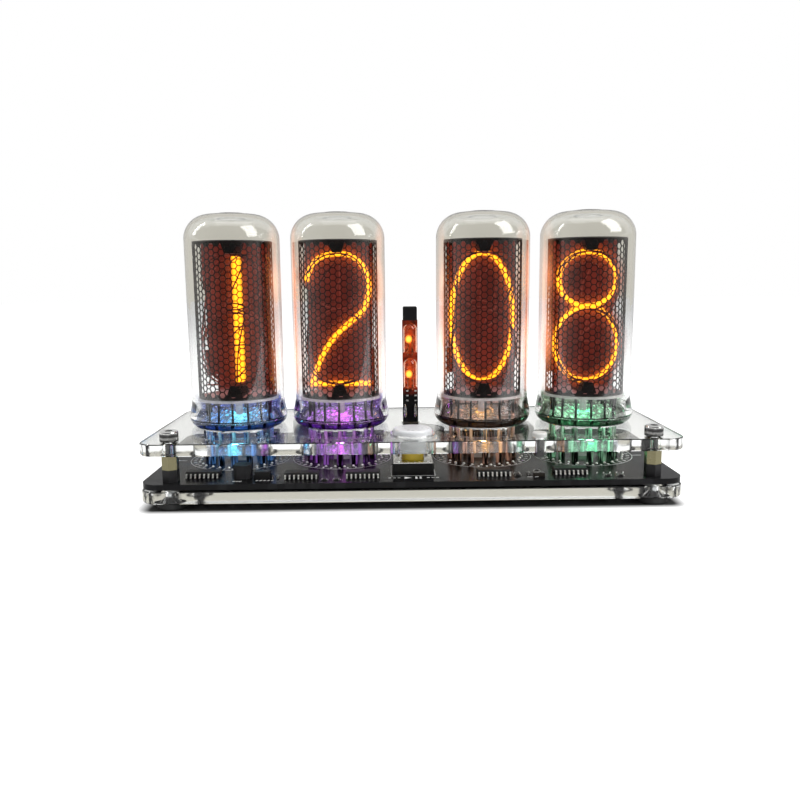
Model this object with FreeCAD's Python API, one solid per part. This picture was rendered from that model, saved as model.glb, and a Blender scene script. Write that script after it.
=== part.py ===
"""Four-digit nixie tube clock on two clear acrylic plates.

Frame: +X to the right along the row of tubes, +Y to the rear, +Z up.
The origin is at the middle of the plates, on the table under the rubber feet.
All sizes are in millimetres and all angles in degrees.
"""
import FreeCAD
import Part

import math
import os

# Clear plates
PLATE_END_MARGIN = 7.55
PLATE_DEPTH = 59.0
PLATE_CORNER_RADIUS = 5.5
PLATE_EDGE_BREAK = 0.25
BASE_PLATE_THICKNESS = 3.5
TOP_PLATE_THICKNESS = 3.5

# Main circuit board between the plates
BOARD_EDGE_INSET = 0.3
BOARD_THICKNESS = 1.6

# Rubber feet, stuck over the lower screws
FOOT_RADIUS = 4.4
FOOT_HEIGHT = 2.0
FOOT_EDGE_ROUND = 0.5

# Corner columns: washer, hex nut and hex standoff, with one screw from each end
SCREW_INSET_X = 8.4
SCREW_INSET_Y = 4.8
THREAD_RADIUS = 1.25
THREAD_FIT = 0.03
SCREW_HOLE_CLEARANCE = 0.15
WASHER_RADIUS = 3.2
WASHER_THICKNESS = 0.5
COLUMN_FLATS = 4.2
NUT_HEIGHT = 3.5
STANDOFF_HEIGHT = 4.5
TOP_HEAD_RADIUS = 2.6
TOP_HEAD_HEIGHT = 3.0
TOP_HEAD_EDGE_ROUND = 0.35
HEX_KEY_FLATS = 2.0
HEX_KEY_DEPTH = 1.5
TOP_SCREW_ENGAGEMENT = 2.5
BASE_HEAD_RADIUS = 2.9
BASE_HEAD_HEIGHT = 1.6
BASE_HEAD_CLEARANCE = 0.05
BASE_KEY_FLATS = 1.8
BASE_KEY_DEPTH = 0.9
BASE_SCREW_ENGAGEMENT = 0.9

# Row of tubes, in two pairs
TUBE_PAIR_GAP = 2.2
TUBE_MIDDLE_GAP = 14.5
TUBE_ROW_X = 0.55
TUBE_ROW_Y = 2.2
LIT_DIGITS = ("1", "2", "0", "8")

# Glass envelope
GLASS_RADIUS = 14.35
GLASS_WALL = 0.9
GLASS_HEADROOM = 8.1
DOME_ROUND = 7.5
TOP_RING_RADIUS = 4.0
TOP_RING_WIDTH = 0.7
TOP_RING_HEIGHT = 0.4
GLASS_FOOT_INSET = 1.05
GLASS_FOOT_WIDTH = 1.0
GLASS_RECESS_DEPTH = 0.4
GLASS_RECESS_SLOPE = 0.2
GLASS_RIM_BULGE = 0.65
GLASS_RIM_HEIGHT = 2.5
GLASS_RIM_FADE = 9.0
GLASS_PRESS_THICKNESS = 1.5
CAVITY_FLOOR_ROUND = 0.8
EXHAUST_RADIUS = 1.9
EXHAUST_TIP_RADIUS = 0.8
EXHAUST_LENGTH = 3.2

# Pins, and the sockets that hold them on the board
PIN_COUNT = 14
PIN_HOLE_GAP = 2.2
PIN_RADIUS = 0.5
PIN_TIP_GAP = 1.0
LEAD_RADIUS = 0.35
SOCKET_RADIUS = 1.0
SOCKET_HEIGHT = 4.0
SOCKET_FLOOR = 0.5
SOCKET_CLEARANCE = 0.06
SOLDER_TAIL_RADIUS = 0.4
SOLDER_TAIL_CLEARANCE = 0.05
TUBE_HOLE_CLEARANCE = 0.1

# Anode cage inside the glass
CAGE_SIDE_GAP = 1.45
CAGE_SHEET = 0.25
CAGE_LIFT = 9.2
CAGE_HEIGHT = 46.8
CAGE_PLATE_THICKNESS = 0.3
SCREEN_ANGLE = 180.0
SCREEN_CELL_PITCH = 1.87
SCREEN_WIRE = 0.28
SCREEN_BORDER = 0.35
SHIELD_ANGLE = 133.0
SHIELD_FOOT_CUT_ANGLE = 22.0
SHIELD_FOOT_CUT_HEIGHT = 5.5
SHIELD_WINDOW_ANGLE = 7.0
SHIELD_WINDOW_LIFT = 13.7
SHIELD_WINDOW_HEIGHT = 19.0
SPACER_DISC_OVERHANG = 0.4
SPACER_DISC_THICKNESS = 0.7
STEM_POST_RADIUS = 1.1
HOLDER_BASE_WIDTH = 5.0
HOLDER_TIP_WIDTH = 2.8
HOLDER_HEIGHT = 3.3
HOLDER_DEPTH = 12.2

# Cathode digits, stacked from the front to the rear
STACK_ORDER = "3628504971"
STACK_PITCH = 1.15
DIGIT_SIDE_GAP = 0.6
DIGIT_HOLDER_GAP = 0.1
DIGIT_STROKE = 0.4
DIGIT_THICKNESS = 0.3
CURVE_SAMPLES = 12

# Colour light under each tube
RGB_SIZE = 5.0
RGB_HEIGHT = 1.6
RGB_LENS_RADIUS = 2.0
RGB_LENS_DEPTH = 0.3

# Colon post with two neon lamps
COLON_X = 0.2
COLON_BOARD_WIDTH = 4.8
COLON_BOARD_THICKNESS = 1.6
COLON_BOARD_SHOULDER_RISE = 32.0
COLON_TONGUE_WIDTH = 2.7
COLON_TONGUE_HEIGHT = 3.4
COLON_HEADER_WIDTH = 7.6
COLON_HEADER_DEPTH = 3.4
COLON_HEADER_HEIGHT = 5.0
COLON_PLUG_DEPTH = 3.5
COLON_SLOT_CLEARANCE = 0.4
LAMP_RADIUS = 2.15
LAMP_LENGTH = 9.3
LAMP_WALL = 0.35
LAMP_LOWER_RISE = 11.2
LAMP_PITCH = 10.8
LAMP_BOARD_GAP = 0.05
ELECTRODE_RADIUS = 0.35
ELECTRODE_LENGTH = 5.0
ELECTRODE_SPACING = 1.3
LAMP_LEAD_RADIUS = 0.2
COLON_CAP_WALL = 0.8
COLON_CAP_EDGE_ROUND = 0.4
COLON_CAP_ROOF = 0.8
COLON_CAP_FRONT_DEPTH = 2.6
COLON_CAP_REAR_DEPTH = 1.0

# Push button on a 12 mm tact switch
BUTTON_X = 0.3
BUTTON_FRONT_INSET = 13.5
SWITCH_SIZE = 12.0
SWITCH_BASE_HEIGHT = 3.4
SWITCH_EDGE_BREAK = 0.4
SWITCH_WELL_FLOOR = 1.5
SWITCH_COVER_THICKNESS = 0.3
SWITCH_COVER_INSET = 0.3
RIVET_RADIUS = 0.7
RIVET_HEIGHT = 0.35
RIVET_INSET = 1.6
STEM_RADIUS = 3.3
STEM_COLLAR_RADIUS = 3.9
STEM_COLLAR_HEIGHT = 0.7
STEM_CLEARANCE = 0.15
STEM_COVER_GAP = 0.05
STEM_RISE = 3.1
STEM_BOSS_SIZE = 3.2
STEM_BOSS_HEIGHT = 2.4
CAP_RADIUS = 5.75
CAP_TOP_RISE = 1.4
CAP_EDGE_ROUND = 0.8
CAP_FLANGE_RADIUS = 7.3
CAP_FLANGE_HEIGHT = 0.7
CAP_FLANGE_GAP = 0.4
CAP_HOLE_CLEARANCE = 0.9

# Light pipe over a light sensor
PIPE_OFFSET = 13.4
PIPE_FRONT_INSET = 5.3
PIPE_HEAD_RADIUS = 2.1
PIPE_HEAD_HEIGHT = 1.3
PIPE_HEAD_ROUND = 0.5
PIPE_STEM_RADIUS = 1.5
PIPE_HOLE_CLEARANCE = 0.05
PIPE_REACH = 5.6
SENSOR_LENGTH = 3.2
SENSOR_WIDTH = 1.6
SENSOR_HEIGHT = 1.1

# Places on the board are (tube number, X from that tube's axis, inset of the piece's middle).
# A positive inset is from the front edge of the plates and a negative one is from the rear edge.

# Flat chips with two rows of gull-wing legs
CHIP_PITCH = 1.27
CHIP_BODY_WIDTH = 3.9
CHIP_BODY_HEIGHT = 1.5
CHIP_STANDOFF = 0.15
CHIP_END_MARGIN = 0.5
CHIP_LEG_WIDTH = 0.45
CHIP_LEG_THICKNESS = 0.22
CHIP_LEG_REACH = 1.05
CHIP_LEG_FOOT = 0.6
DRIVER_LEGS_PER_SIDE = 8
DRIVER_PLACES = ((1, -6.7, 10.0), (2, -10.2, 7.5), (2, 7.4, 7.6), (3, 0.8, 8.1), (4, -9.1, 9.0))
CLOCK_LEGS_PER_SIDE = 4
CLOCK_CHIP_PLACE = (3, -0.8, -7.5)

# Microcontroller with legs on four sides
CONTROLLER_PLACE = (2, 9.7, -7.5)
CONTROLLER_SIZE = 7.0
CONTROLLER_HEIGHT = 1.2
CONTROLLER_LEGS_PER_SIDE = 8
CONTROLLER_PITCH = 0.8
CONTROLLER_LEG_WIDTH = 0.37

# High-voltage supply
INDUCTOR_PLACE = (1, 5.1, 7.9)
INDUCTOR_SIZE = 4.9
INDUCTOR_HEIGHT = 3.9
INDUCTOR_CORNER = 1.0
DIODE_PLACE = (1, 11.0, 6.6)
DIODE_LENGTH = 4.3
DIODE_WIDTH = 2.6
DIODE_HEIGHT = 2.2
DIODE_TAB_LENGTH = 0.5
DIODE_TAB_HEIGHT = 1.1
TRANSISTOR_PLACE = (1, 5.9, -8.0)
TRANSISTOR_LENGTH = 6.6
TRANSISTOR_DEPTH = 6.1
TRANSISTOR_HEIGHT = 2.3
TRANSISTOR_TAB_DEPTH = 1.5
TRANSISTOR_TAB_THICKNESS = 0.5
TRANSISTOR_LEG_WIDTH = 0.9
TRANSISTOR_LEG_SPACING = 4.6
TRANSISTOR_LEG_REACH = 2.4
CAPACITOR_PLACE = (2, -14.8, -7.5)
CAPACITOR_RADIUS = 3.15
CAPACITOR_HEIGHT = 5.8
CAPACITOR_FOOT_SIZE = 6.6
CAPACITOR_FOOT_HEIGHT = 0.8
CAPACITOR_EDGE_ROUND = 0.4

# Backup cell in its holder
CELL_PLACE = (3, -18.2, -9.4)
CELL_RADIUS = 6.25
CELL_THICKNESS = 2.0
CELL_STEP_RADIUS = 5.4
CELL_STEP_HEIGHT = 0.4
HOLDER_WALL = 1.2
HOLDER_FLOOR = 0.8
CELL_CLEARANCE = 0.15
CLIP_WIDTH = 3.0
CLIP_THICKNESS = 0.3
CLIP_REACH = 5.0

# Power inlet at the rear edge
INLET_OFFSET = 16.1
INLET_WIDTH = 8.94
INLET_HEIGHT = 3.2
INLET_DEPTH = 7.3
INLET_WALL = 0.3
INLET_ROUND_SHARE = 0.48
INLET_OVERHANG = 0.2
INLET_BACK_WALL = 1.0
INLET_TONGUE_WIDTH = 6.7
INLET_TONGUE_THICKNESS = 0.7
INLET_TONGUE_REACH = 4.8
INLET_TAIL_WIDTH = 1.0
INLET_TAIL_LENGTH = 1.0
INLET_TAIL_CLEARANCE = 0.1

# Levels of the stack, from the table up
BASE_BOTTOM = FOOT_HEIGHT
BASE_TOP = BASE_BOTTOM + BASE_PLATE_THICKNESS
BOARD_BOTTOM = BASE_TOP + WASHER_THICKNESS
BOARD_TOP = BOARD_BOTTOM + BOARD_THICKNESS
NUT_TOP = BOARD_TOP + NUT_HEIGHT
PLATE_BOTTOM = NUT_TOP + STANDOFF_HEIGHT
PLATE_TOP = PLATE_BOTTOM + TOP_PLATE_THICKNESS
CAGE_BOTTOM = PLATE_TOP + CAGE_LIFT
CAGE_TOP = CAGE_BOTTOM + CAGE_HEIGHT

# Sizes that follow from the ones above
RIM_RADIUS = GLASS_RADIUS + GLASS_RIM_BULGE
GLASS_FOOT_RADIUS = GLASS_RADIUS - GLASS_FOOT_INSET
CAGE_RADIUS = GLASS_RADIUS - GLASS_WALL - CAGE_SIDE_GAP
GLASS_HEIGHT = CAGE_LIFT + CAGE_HEIGHT + CAGE_PLATE_THICKNESS + GLASS_HEADROOM
TUBE_HOLE_RADIUS = GLASS_FOOT_RADIUS - GLASS_FOOT_WIDTH - TUBE_HOLE_CLEARANCE
PIN_CIRCLE_RADIUS = TUBE_HOLE_RADIUS - PIN_HOLE_GAP
INNER_TUBE = RIM_RADIUS + TUBE_MIDDLE_GAP / 2
OUTER_TUBE = INNER_TUBE + 2 * RIM_RADIUS + TUBE_PAIR_GAP
PLATE_LENGTH = 2 * (OUTER_TUBE + RIM_RADIUS + PLATE_END_MARGIN)
STACK_REACH = (len(STACK_ORDER) - 1) * STACK_PITCH / 2 + DIGIT_THICKNESS / 2
DIGIT_WIDTH = 2 * (math.sqrt((CAGE_RADIUS - CAGE_SHEET) ** 2 - STACK_REACH ** 2) - DIGIT_SIDE_GAP)
DIGIT_HEIGHT = CAGE_HEIGHT - 2 * HOLDER_HEIGHT - 2 * DIGIT_HOLDER_GAP

# Places shared by several pieces
FRONT_EDGE = -PLATE_DEPTH / 2
REAR_EDGE = PLATE_DEPTH / 2
SCREW_X = PLATE_LENGTH / 2 - SCREW_INSET_X
SCREW_Y = PLATE_DEPTH / 2 - SCREW_INSET_Y
CORNERS = [(side * SCREW_X, end * SCREW_Y) for side in (-1, 1) for end in (-1, 1)]
BUTTON_Y = FRONT_EDGE + BUTTON_FRONT_INSET
PIPE_Y = FRONT_EDGE + PIPE_FRONT_INSET
TUBE_CENTRES = [(TUBE_ROW_X + x, TUBE_ROW_Y) for x in (-OUTER_TUBE, -INNER_TUBE, INNER_TUBE, OUTER_TUBE)]
PIPE_X = TUBE_CENTRES[2][0] + PIPE_OFFSET
INLET_X = TUBE_CENTRES[2][0] + INLET_OFFSET
COLON_FRONT = TUBE_ROW_Y - COLON_BOARD_THICKNESS / 2
UP = FreeCAD.Vector(0, 0, 1)


# Plain shapes

def cylinder(radius, height, x, y, bottom):
    return Part.makeCylinder(radius, height, FreeCAD.Vector(x, y, bottom))


def cone(bottom_radius, top_radius, height, x, y, bottom):
    return Part.makeCone(bottom_radius, top_radius, height, FreeCAD.Vector(x, y, bottom))


def block(length, depth, height, x, y, bottom):
    """Box centred on x, y that stands on the level bottom."""
    corner = FreeCAD.Vector(x - length / 2, y - depth / 2, bottom)
    return Part.makeBox(length, depth, height, corner)


def hexagon(flats, height, x, y, bottom):
    """Hexagonal prism given by its width across flats."""
    corner_radius = flats / math.sqrt(3)
    turns = [math.radians(60 * k + 30) for k in range(7)]
    corners = [FreeCAD.Vector(x + corner_radius * math.cos(a), y + corner_radius * math.sin(a), bottom)
               for a in turns]
    return Part.Face(Part.makePolygon(corners)).extrude(UP * height)


def join(shapes):
    """One solid from pieces that touch or overlap."""
    return shapes[0].multiFuse(shapes[1:]).removeSplitter()


def group(shapes):
    return Part.makeCompound(shapes)


def moved(shape, x, y, z):
    copy = shape.copy()
    copy.translate(FreeCAD.Vector(x, y, z))
    return copy


def turned(shape, angle):
    """Copy turned about the vertical axis through the origin."""
    copy = shape.copy()
    copy.rotate(FreeCAD.Vector(0, 0, 0), UP, angle)
    return copy


def edges_at(shape, level):
    """Edges that lie wholly on one level."""
    return [e for e in shape.Edges if all(abs(v.Z - level) < 1e-6 for v in e.Vertexes)]


def circles_at(shape, level, radius):
    """Circular edges of one radius on one level."""
    return [e for e in edges_at(shape, level)
            if e.Curve.TypeId == "Part::GeomCircle" and abs(e.Curve.Radius - radius) < 1e-6]


def upright_edges(shape):
    return [e for e in shape.Edges
            if abs(e.BoundBox.XLength) < 1e-6 and abs(e.BoundBox.YLength) < 1e-6]


def rounded_slab(length, depth, thickness, corner_radius, bottom):
    slab = block(length, depth, thickness, 0, 0, bottom)
    return slab.makeFillet(corner_radius, upright_edges(slab))


def board_place(place):
    """X and Y of a place on the board."""
    tube, offset, inset = place
    edge = FRONT_EDGE if inset > 0 else REAR_EDGE
    return TUBE_CENTRES[tube - 1][0] + offset, edge + inset


def on_board(shape, place):
    """Copy of a piece built at the origin, moved to its place on top of the board."""
    x, y = board_place(place)
    return moved(shape, x, y, BOARD_TOP)


# Plates, board and corner columns

def rubber_feet():
    foot = cylinder(FOOT_RADIUS, FOOT_HEIGHT, 0, 0, 0)
    foot = foot.makeFillet(FOOT_EDGE_ROUND, circles_at(foot, 0, FOOT_RADIUS))
    return group([moved(foot, x, y, 0) for x, y in CORNERS])


def base_plate():
    plate = rounded_slab(PLATE_LENGTH, PLATE_DEPTH, BASE_PLATE_THICKNESS, PLATE_CORNER_RADIUS, BASE_BOTTOM)
    plate = plate.makeChamfer(PLATE_EDGE_BREAK, edges_at(plate, BASE_TOP) + edges_at(plate, BASE_BOTTOM))
    head_room = BASE_HEAD_RADIUS + BASE_HEAD_CLEARANCE
    shank_room = THREAD_RADIUS + SCREW_HOLE_CLEARANCE
    cuts = []
    for x, y in CORNERS:
        cuts.append(cylinder(shank_room, BASE_PLATE_THICKNESS, x, y, BASE_BOTTOM))
        cuts.append(cone(head_room, shank_room, BASE_HEAD_HEIGHT, x, y, BASE_BOTTOM))
    return plate.cut(group(cuts))


def base_screw():
    """Countersunk screw that points up from the level 0, head underneath."""
    shank_length = NUT_TOP - BASE_BOTTOM + BASE_SCREW_ENGAGEMENT
    head = cone(BASE_HEAD_RADIUS, THREAD_RADIUS, BASE_HEAD_HEIGHT, 0, 0, 0)
    shank = cylinder(THREAD_RADIUS, shank_length, 0, 0, 0)
    return join([head, shank]).cut(hexagon(BASE_KEY_FLATS, BASE_KEY_DEPTH, 0, 0, 0))


def base_screws():
    screw = base_screw()
    return group([moved(screw, x, y, BASE_BOTTOM) for x, y in CORNERS])


def board_washers():
    hole = cylinder(THREAD_RADIUS + SCREW_HOLE_CLEARANCE, WASHER_THICKNESS, 0, 0, 0)
    washer = cylinder(WASHER_RADIUS, WASHER_THICKNESS, 0, 0, 0).cut(hole)
    return group([moved(washer, x, y, BASE_TOP) for x, y in CORNERS])


def hex_column(height):
    bore = cylinder(THREAD_RADIUS + THREAD_FIT, height, 0, 0, 0)
    return hexagon(COLUMN_FLATS, height, 0, 0, 0).cut(bore)


def spacer_nuts():
    nut = hex_column(NUT_HEIGHT)
    return group([moved(nut, x, y, BOARD_TOP) for x, y in CORNERS])


def standoffs():
    standoff = hex_column(STANDOFF_HEIGHT)
    return group([moved(standoff, x, y, NUT_TOP) for x, y in CORNERS])


def top_screw():
    """Cap screw whose head sits on the level 0 and whose shank points down."""
    shank_length = TOP_PLATE_THICKNESS + TOP_SCREW_ENGAGEMENT
    head = cylinder(TOP_HEAD_RADIUS, TOP_HEAD_HEIGHT, 0, 0, 0)
    head = head.makeFillet(TOP_HEAD_EDGE_ROUND, circles_at(head, TOP_HEAD_HEIGHT, TOP_HEAD_RADIUS))
    key = hexagon(HEX_KEY_FLATS, HEX_KEY_DEPTH, 0, 0, TOP_HEAD_HEIGHT - HEX_KEY_DEPTH)
    shank = cylinder(THREAD_RADIUS, shank_length, 0, 0, -shank_length)
    return join([head.cut(key), shank])


def top_screws():
    screw = top_screw()
    return group([moved(screw, x, y, PLATE_TOP) for x, y in CORNERS])


def main_board():
    length = PLATE_LENGTH - 2 * BOARD_EDGE_INSET
    depth = PLATE_DEPTH - 2 * BOARD_EDGE_INSET
    corner_radius = PLATE_CORNER_RADIUS - BOARD_EDGE_INSET
    board = rounded_slab(length, depth, BOARD_THICKNESS, corner_radius, BOARD_BOTTOM)
    screw_room = THREAD_RADIUS + SCREW_HOLE_CLEARANCE
    tail_room = SOLDER_TAIL_RADIUS + SOLDER_TAIL_CLEARANCE
    inlet_room = INLET_TAIL_WIDTH + 2 * INLET_TAIL_CLEARANCE
    cuts = [cylinder(screw_room, BOARD_THICKNESS, x, y, BOARD_BOTTOM) for x, y in CORNERS]
    cuts += [cylinder(tail_room, BOARD_THICKNESS, x, y, BOARD_BOTTOM) for x, y in socket_places()]
    cuts += [block(inlet_room, inlet_room, BOARD_THICKNESS, x, y, BOARD_BOTTOM)
             for x, y in inlet_tail_places()]
    return board.cut(group(cuts))


def top_plate():
    plate = rounded_slab(PLATE_LENGTH, PLATE_DEPTH, TOP_PLATE_THICKNESS, PLATE_CORNER_RADIUS, PLATE_BOTTOM)
    plate = plate.makeChamfer(PLATE_EDGE_BREAK, edges_at(plate, PLATE_TOP) + edges_at(plate, PLATE_BOTTOM))
    holes = [(x, y, THREAD_RADIUS + SCREW_HOLE_CLEARANCE) for x, y in CORNERS]
    holes += [(x, y, TUBE_HOLE_RADIUS) for x, y in TUBE_CENTRES]
    holes.append((BUTTON_X, BUTTON_Y, CAP_RADIUS + CAP_HOLE_CLEARANCE))
    holes.append((PIPE_X, PIPE_Y, PIPE_STEM_RADIUS + PIPE_HOLE_CLEARANCE))
    cuts = [cylinder(radius, TOP_PLATE_THICKNESS, x, y, PLATE_BOTTOM) for x, y, radius in holes]
    slot_length = COLON_BOARD_WIDTH + 2 * COLON_SLOT_CLEARANCE
    slot_depth = COLON_BOARD_THICKNESS + 2 * COLON_SLOT_CLEARANCE
    cuts.append(block(slot_length, slot_depth, TOP_PLATE_THICKNESS, COLON_X, TUBE_ROW_Y, PLATE_BOTTOM))
    return plate.cut(group(cuts))


# Tube sockets and colour lights on the board

def pin_circle():
    """Pin places round the middle of one tube."""
    turns = [2 * math.pi * (k + 0.5) / PIN_COUNT for k in range(PIN_COUNT)]
    return [(PIN_CIRCLE_RADIUS * math.cos(a), PIN_CIRCLE_RADIUS * math.sin(a)) for a in turns]


def socket_places():
    return [(x + px, y + py) for x, y in TUBE_CENTRES for px, py in pin_circle()]


def pin_sockets():
    barrel = cylinder(SOCKET_RADIUS, SOCKET_HEIGHT, 0, 0, 0)
    bore = cylinder(PIN_RADIUS + SOCKET_CLEARANCE, SOCKET_HEIGHT - SOCKET_FLOOR, 0, 0, SOCKET_FLOOR)
    tail = cylinder(SOLDER_TAIL_RADIUS, BOARD_THICKNESS, 0, 0, -BOARD_THICKNESS)
    socket = join([barrel.cut(bore), tail])
    return group([moved(socket, x, y, BOARD_TOP) for x, y in socket_places()])


def tube_lights():
    body = block(RGB_SIZE, RGB_SIZE, RGB_HEIGHT, 0, 0, 0)
    lens = cylinder(RGB_LENS_RADIUS, RGB_LENS_DEPTH, 0, 0, RGB_HEIGHT - RGB_LENS_DEPTH)
    light = body.cut(lens)
    return group([moved(light, x, y, BOARD_TOP) for x, y in TUBE_CENTRES])


# Parts of one tube, built round the axis X = 0, Y = 0 with the glass foot on the level 0

def revolved(edges):
    """Solid of revolution about the Z axis from edges in the XZ plane that end on the axis."""
    wire = Part.Wire(edges)
    axis_end = wire.OrderedVertexes[-1].Point
    axis_start = wire.OrderedVertexes[0].Point
    closed = Part.Wire(wire.OrderedEdges + [Part.makeLine(axis_end, axis_start)])
    return Part.Face(closed).revolve(FreeCAD.Vector(0, 0, 0), UP, 360)


def profile_point(radius, height):
    return FreeCAD.Vector(radius, 0, height)


def profile_lines(points):
    corners = [profile_point(radius, height) for radius, height in points]
    return [Part.makeLine(start, end) for start, end in zip(corners, corners[1:])]


def dome_arc(side_radius, round_radius, top):
    """Quarter circle from the side wall to the flat top."""
    middle = round_radius * math.sqrt(0.5)
    centre_radius = side_radius - round_radius
    centre_height = top - round_radius
    return Part.Arc(profile_point(side_radius, centre_height),
                    profile_point(centre_radius + middle, centre_height + middle),
                    profile_point(centre_radius, top)).toShape()


def rim_curve():
    """Swelling of the glass just above its foot."""
    widest = GLASS_RADIUS + GLASS_RIM_BULGE
    curve = Part.BSplineCurve()
    shoulder = (GLASS_RIM_HEIGHT + GLASS_RIM_FADE) / 2
    curve.interpolate([profile_point(GLASS_FOOT_RADIUS, 0),
                       profile_point(widest, GLASS_RIM_HEIGHT),
                       profile_point(GLASS_RADIUS + GLASS_RIM_BULGE / 2, shoulder),
                       profile_point(GLASS_RADIUS, GLASS_RIM_FADE)])
    return curve.toShape()


def glass_envelope():
    recess_edge = GLASS_FOOT_RADIUS - GLASS_FOOT_WIDTH
    underside = profile_lines([(0, GLASS_RECESS_DEPTH),
                               (recess_edge - GLASS_RECESS_SLOPE, GLASS_RECESS_DEPTH),
                               (recess_edge, 0),
                               (GLASS_FOOT_RADIUS, 0)])
    side = profile_lines([(GLASS_RADIUS, GLASS_RIM_FADE), (GLASS_RADIUS, GLASS_HEIGHT - DOME_ROUND)])
    ring_outside = TOP_RING_RADIUS + TOP_RING_WIDTH / 2
    ring_inside = TOP_RING_RADIUS - TOP_RING_WIDTH / 2
    ring = Part.Arc(profile_point(ring_outside, GLASS_HEIGHT),
                    profile_point(TOP_RING_RADIUS, GLASS_HEIGHT + TOP_RING_HEIGHT),
                    profile_point(ring_inside, GLASS_HEIGHT)).toShape()
    top = profile_lines([(GLASS_RADIUS - DOME_ROUND, GLASS_HEIGHT), (ring_outside, GLASS_HEIGHT)])
    middle = profile_lines([(ring_inside, GLASS_HEIGHT), (0, GLASS_HEIGHT)])
    outside = revolved(underside + [rim_curve()] + side
                       + [dome_arc(GLASS_RADIUS, DOME_ROUND, GLASS_HEIGHT)] + top + [ring] + middle)

    floor = GLASS_RECESS_DEPTH + GLASS_PRESS_THICKNESS
    inner_radius = GLASS_RADIUS - GLASS_WALL
    inner_top = GLASS_HEIGHT - GLASS_WALL
    inner_round = DOME_ROUND - GLASS_WALL
    cavity_floor = profile_lines([(0, floor), (inner_radius - CAVITY_FLOOR_ROUND, floor),
                                  (inner_radius, floor + CAVITY_FLOOR_ROUND),
                                  (inner_radius, inner_top - inner_round)])
    cavity_top = profile_lines([(inner_radius - inner_round, inner_top), (0, inner_top)])
    cavity = revolved(cavity_floor + [dome_arc(inner_radius, inner_round, inner_top)] + cavity_top)
    exhaust_tip = GLASS_RECESS_DEPTH - EXHAUST_LENGTH
    exhaust = cone(EXHAUST_TIP_RADIUS, EXHAUST_RADIUS, EXHAUST_LENGTH, 0, 0, exhaust_tip)
    pin_holes = [cylinder(PIN_RADIUS, GLASS_PRESS_THICKNESS, x, y, GLASS_RECESS_DEPTH)
                 for x, y in pin_circle()]
    return join([outside.cut(cavity), exhaust]).cut(group(pin_holes))


def tube_pins():
    """Stiff pins below and through the glass, then thin leads up to the cage."""
    tip = BOARD_TOP + PIN_TIP_GAP - PLATE_TOP
    press_top = GLASS_RECESS_DEPTH + GLASS_PRESS_THICKNESS
    lead_top = CAGE_LIFT - CAGE_PLATE_THICKNESS - SPACER_DISC_THICKNESS
    pin = cylinder(PIN_RADIUS, press_top - tip, 0, 0, tip)
    pin = pin.makeFillet(PIN_RADIUS / 2, circles_at(pin, tip, PIN_RADIUS))
    lead = cylinder(LEAD_RADIUS, lead_top - press_top, 0, 0, press_top)
    whole = join([pin, lead])
    return group([moved(whole, x, y, 0) for x, y in pin_circle()])


def cage_shell(angle, middle_direction, bottom, height):
    """Part of a thin round wall, centred on a direction seen from above."""
    start = middle_direction - angle / 2
    outside = Part.makeCylinder(CAGE_RADIUS, height, FreeCAD.Vector(0, 0, bottom), UP, angle)
    inside = cylinder(CAGE_RADIUS - CAGE_SHEET, height, 0, 0, bottom)
    return turned(outside.cut(inside), start)


def screen_cell(direction, level):
    """Hexagonal punch through the screen with a corner towards each side."""
    corner = (SCREEN_CELL_PITCH - SCREEN_WIRE) / math.sqrt(3)
    start = CAGE_RADIUS - 2 * CAGE_SHEET
    turns = [math.radians(60 * k) for k in range(7)]
    outline = [FreeCAD.Vector(start, corner * math.cos(a), level + corner * math.sin(a)) for a in turns]
    punch = Part.Face(Part.makePolygon(outline)).extrude(FreeCAD.Vector(3 * CAGE_SHEET, 0, 0))
    return turned(punch, direction)


def anode_screen():
    """Front half of the cage, a thin sheet with a honeycomb of openings."""
    sheet = cage_shell(SCREEN_ANGLE, -90, CAGE_LIFT, CAGE_HEIGHT)
    column_pitch = SCREEN_CELL_PITCH * math.sqrt(3) / 2
    cell_angle = math.degrees(column_pitch / CAGE_RADIUS)
    border_angle = math.degrees(SCREEN_BORDER / CAGE_RADIUS)
    columns = int((SCREEN_ANGLE - 2 * border_angle - cell_angle / 3) / cell_angle)
    rows = int((CAGE_HEIGHT - 2 * SCREEN_BORDER - SCREEN_CELL_PITCH / 2) / SCREEN_CELL_PITCH)
    cells = []
    for column in range(columns):
        direction = -90 + (column - (columns - 1) / 2) * cell_angle
        shift = SCREEN_CELL_PITCH / 4 * (-1) ** column
        for row in range(rows):
            level = CAGE_LIFT + CAGE_HEIGHT / 2 + shift + (row - (rows - 1) / 2) * SCREEN_CELL_PITCH
            cells.append(screen_cell(direction, level))
    return sheet.cut(group(cells))


def shield_band(right_cut, left_cut, bottom, top):
    """Stretch of the rear wall between two heights of the cage, narrower by an angle at each side."""
    angle = SHIELD_ANGLE - right_cut - left_cut
    return cage_shell(angle, 90 + (right_cut - left_cut) / 2, CAGE_LIFT + bottom, top - bottom)


def anode_shield():
    """Rear wall with a window at each side and one cut corner, and the two end plates of the cage."""
    window_top = SHIELD_WINDOW_LIFT + SHIELD_WINDOW_HEIGHT
    floor = cylinder(CAGE_RADIUS, CAGE_PLATE_THICKNESS, 0, 0, CAGE_LIFT - CAGE_PLATE_THICKNESS)
    roof = cylinder(CAGE_RADIUS, CAGE_PLATE_THICKNESS, 0, 0, CAGE_LIFT + CAGE_HEIGHT)
    return join([floor,
                 shield_band(0, SHIELD_FOOT_CUT_ANGLE, 0, SHIELD_FOOT_CUT_HEIGHT),
                 shield_band(0, 0, SHIELD_FOOT_CUT_HEIGHT, SHIELD_WINDOW_LIFT),
                 shield_band(SHIELD_WINDOW_ANGLE, SHIELD_WINDOW_ANGLE, SHIELD_WINDOW_LIFT, window_top),
                 shield_band(0, 0, window_top, CAGE_HEIGHT),
                 roof])


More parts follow.
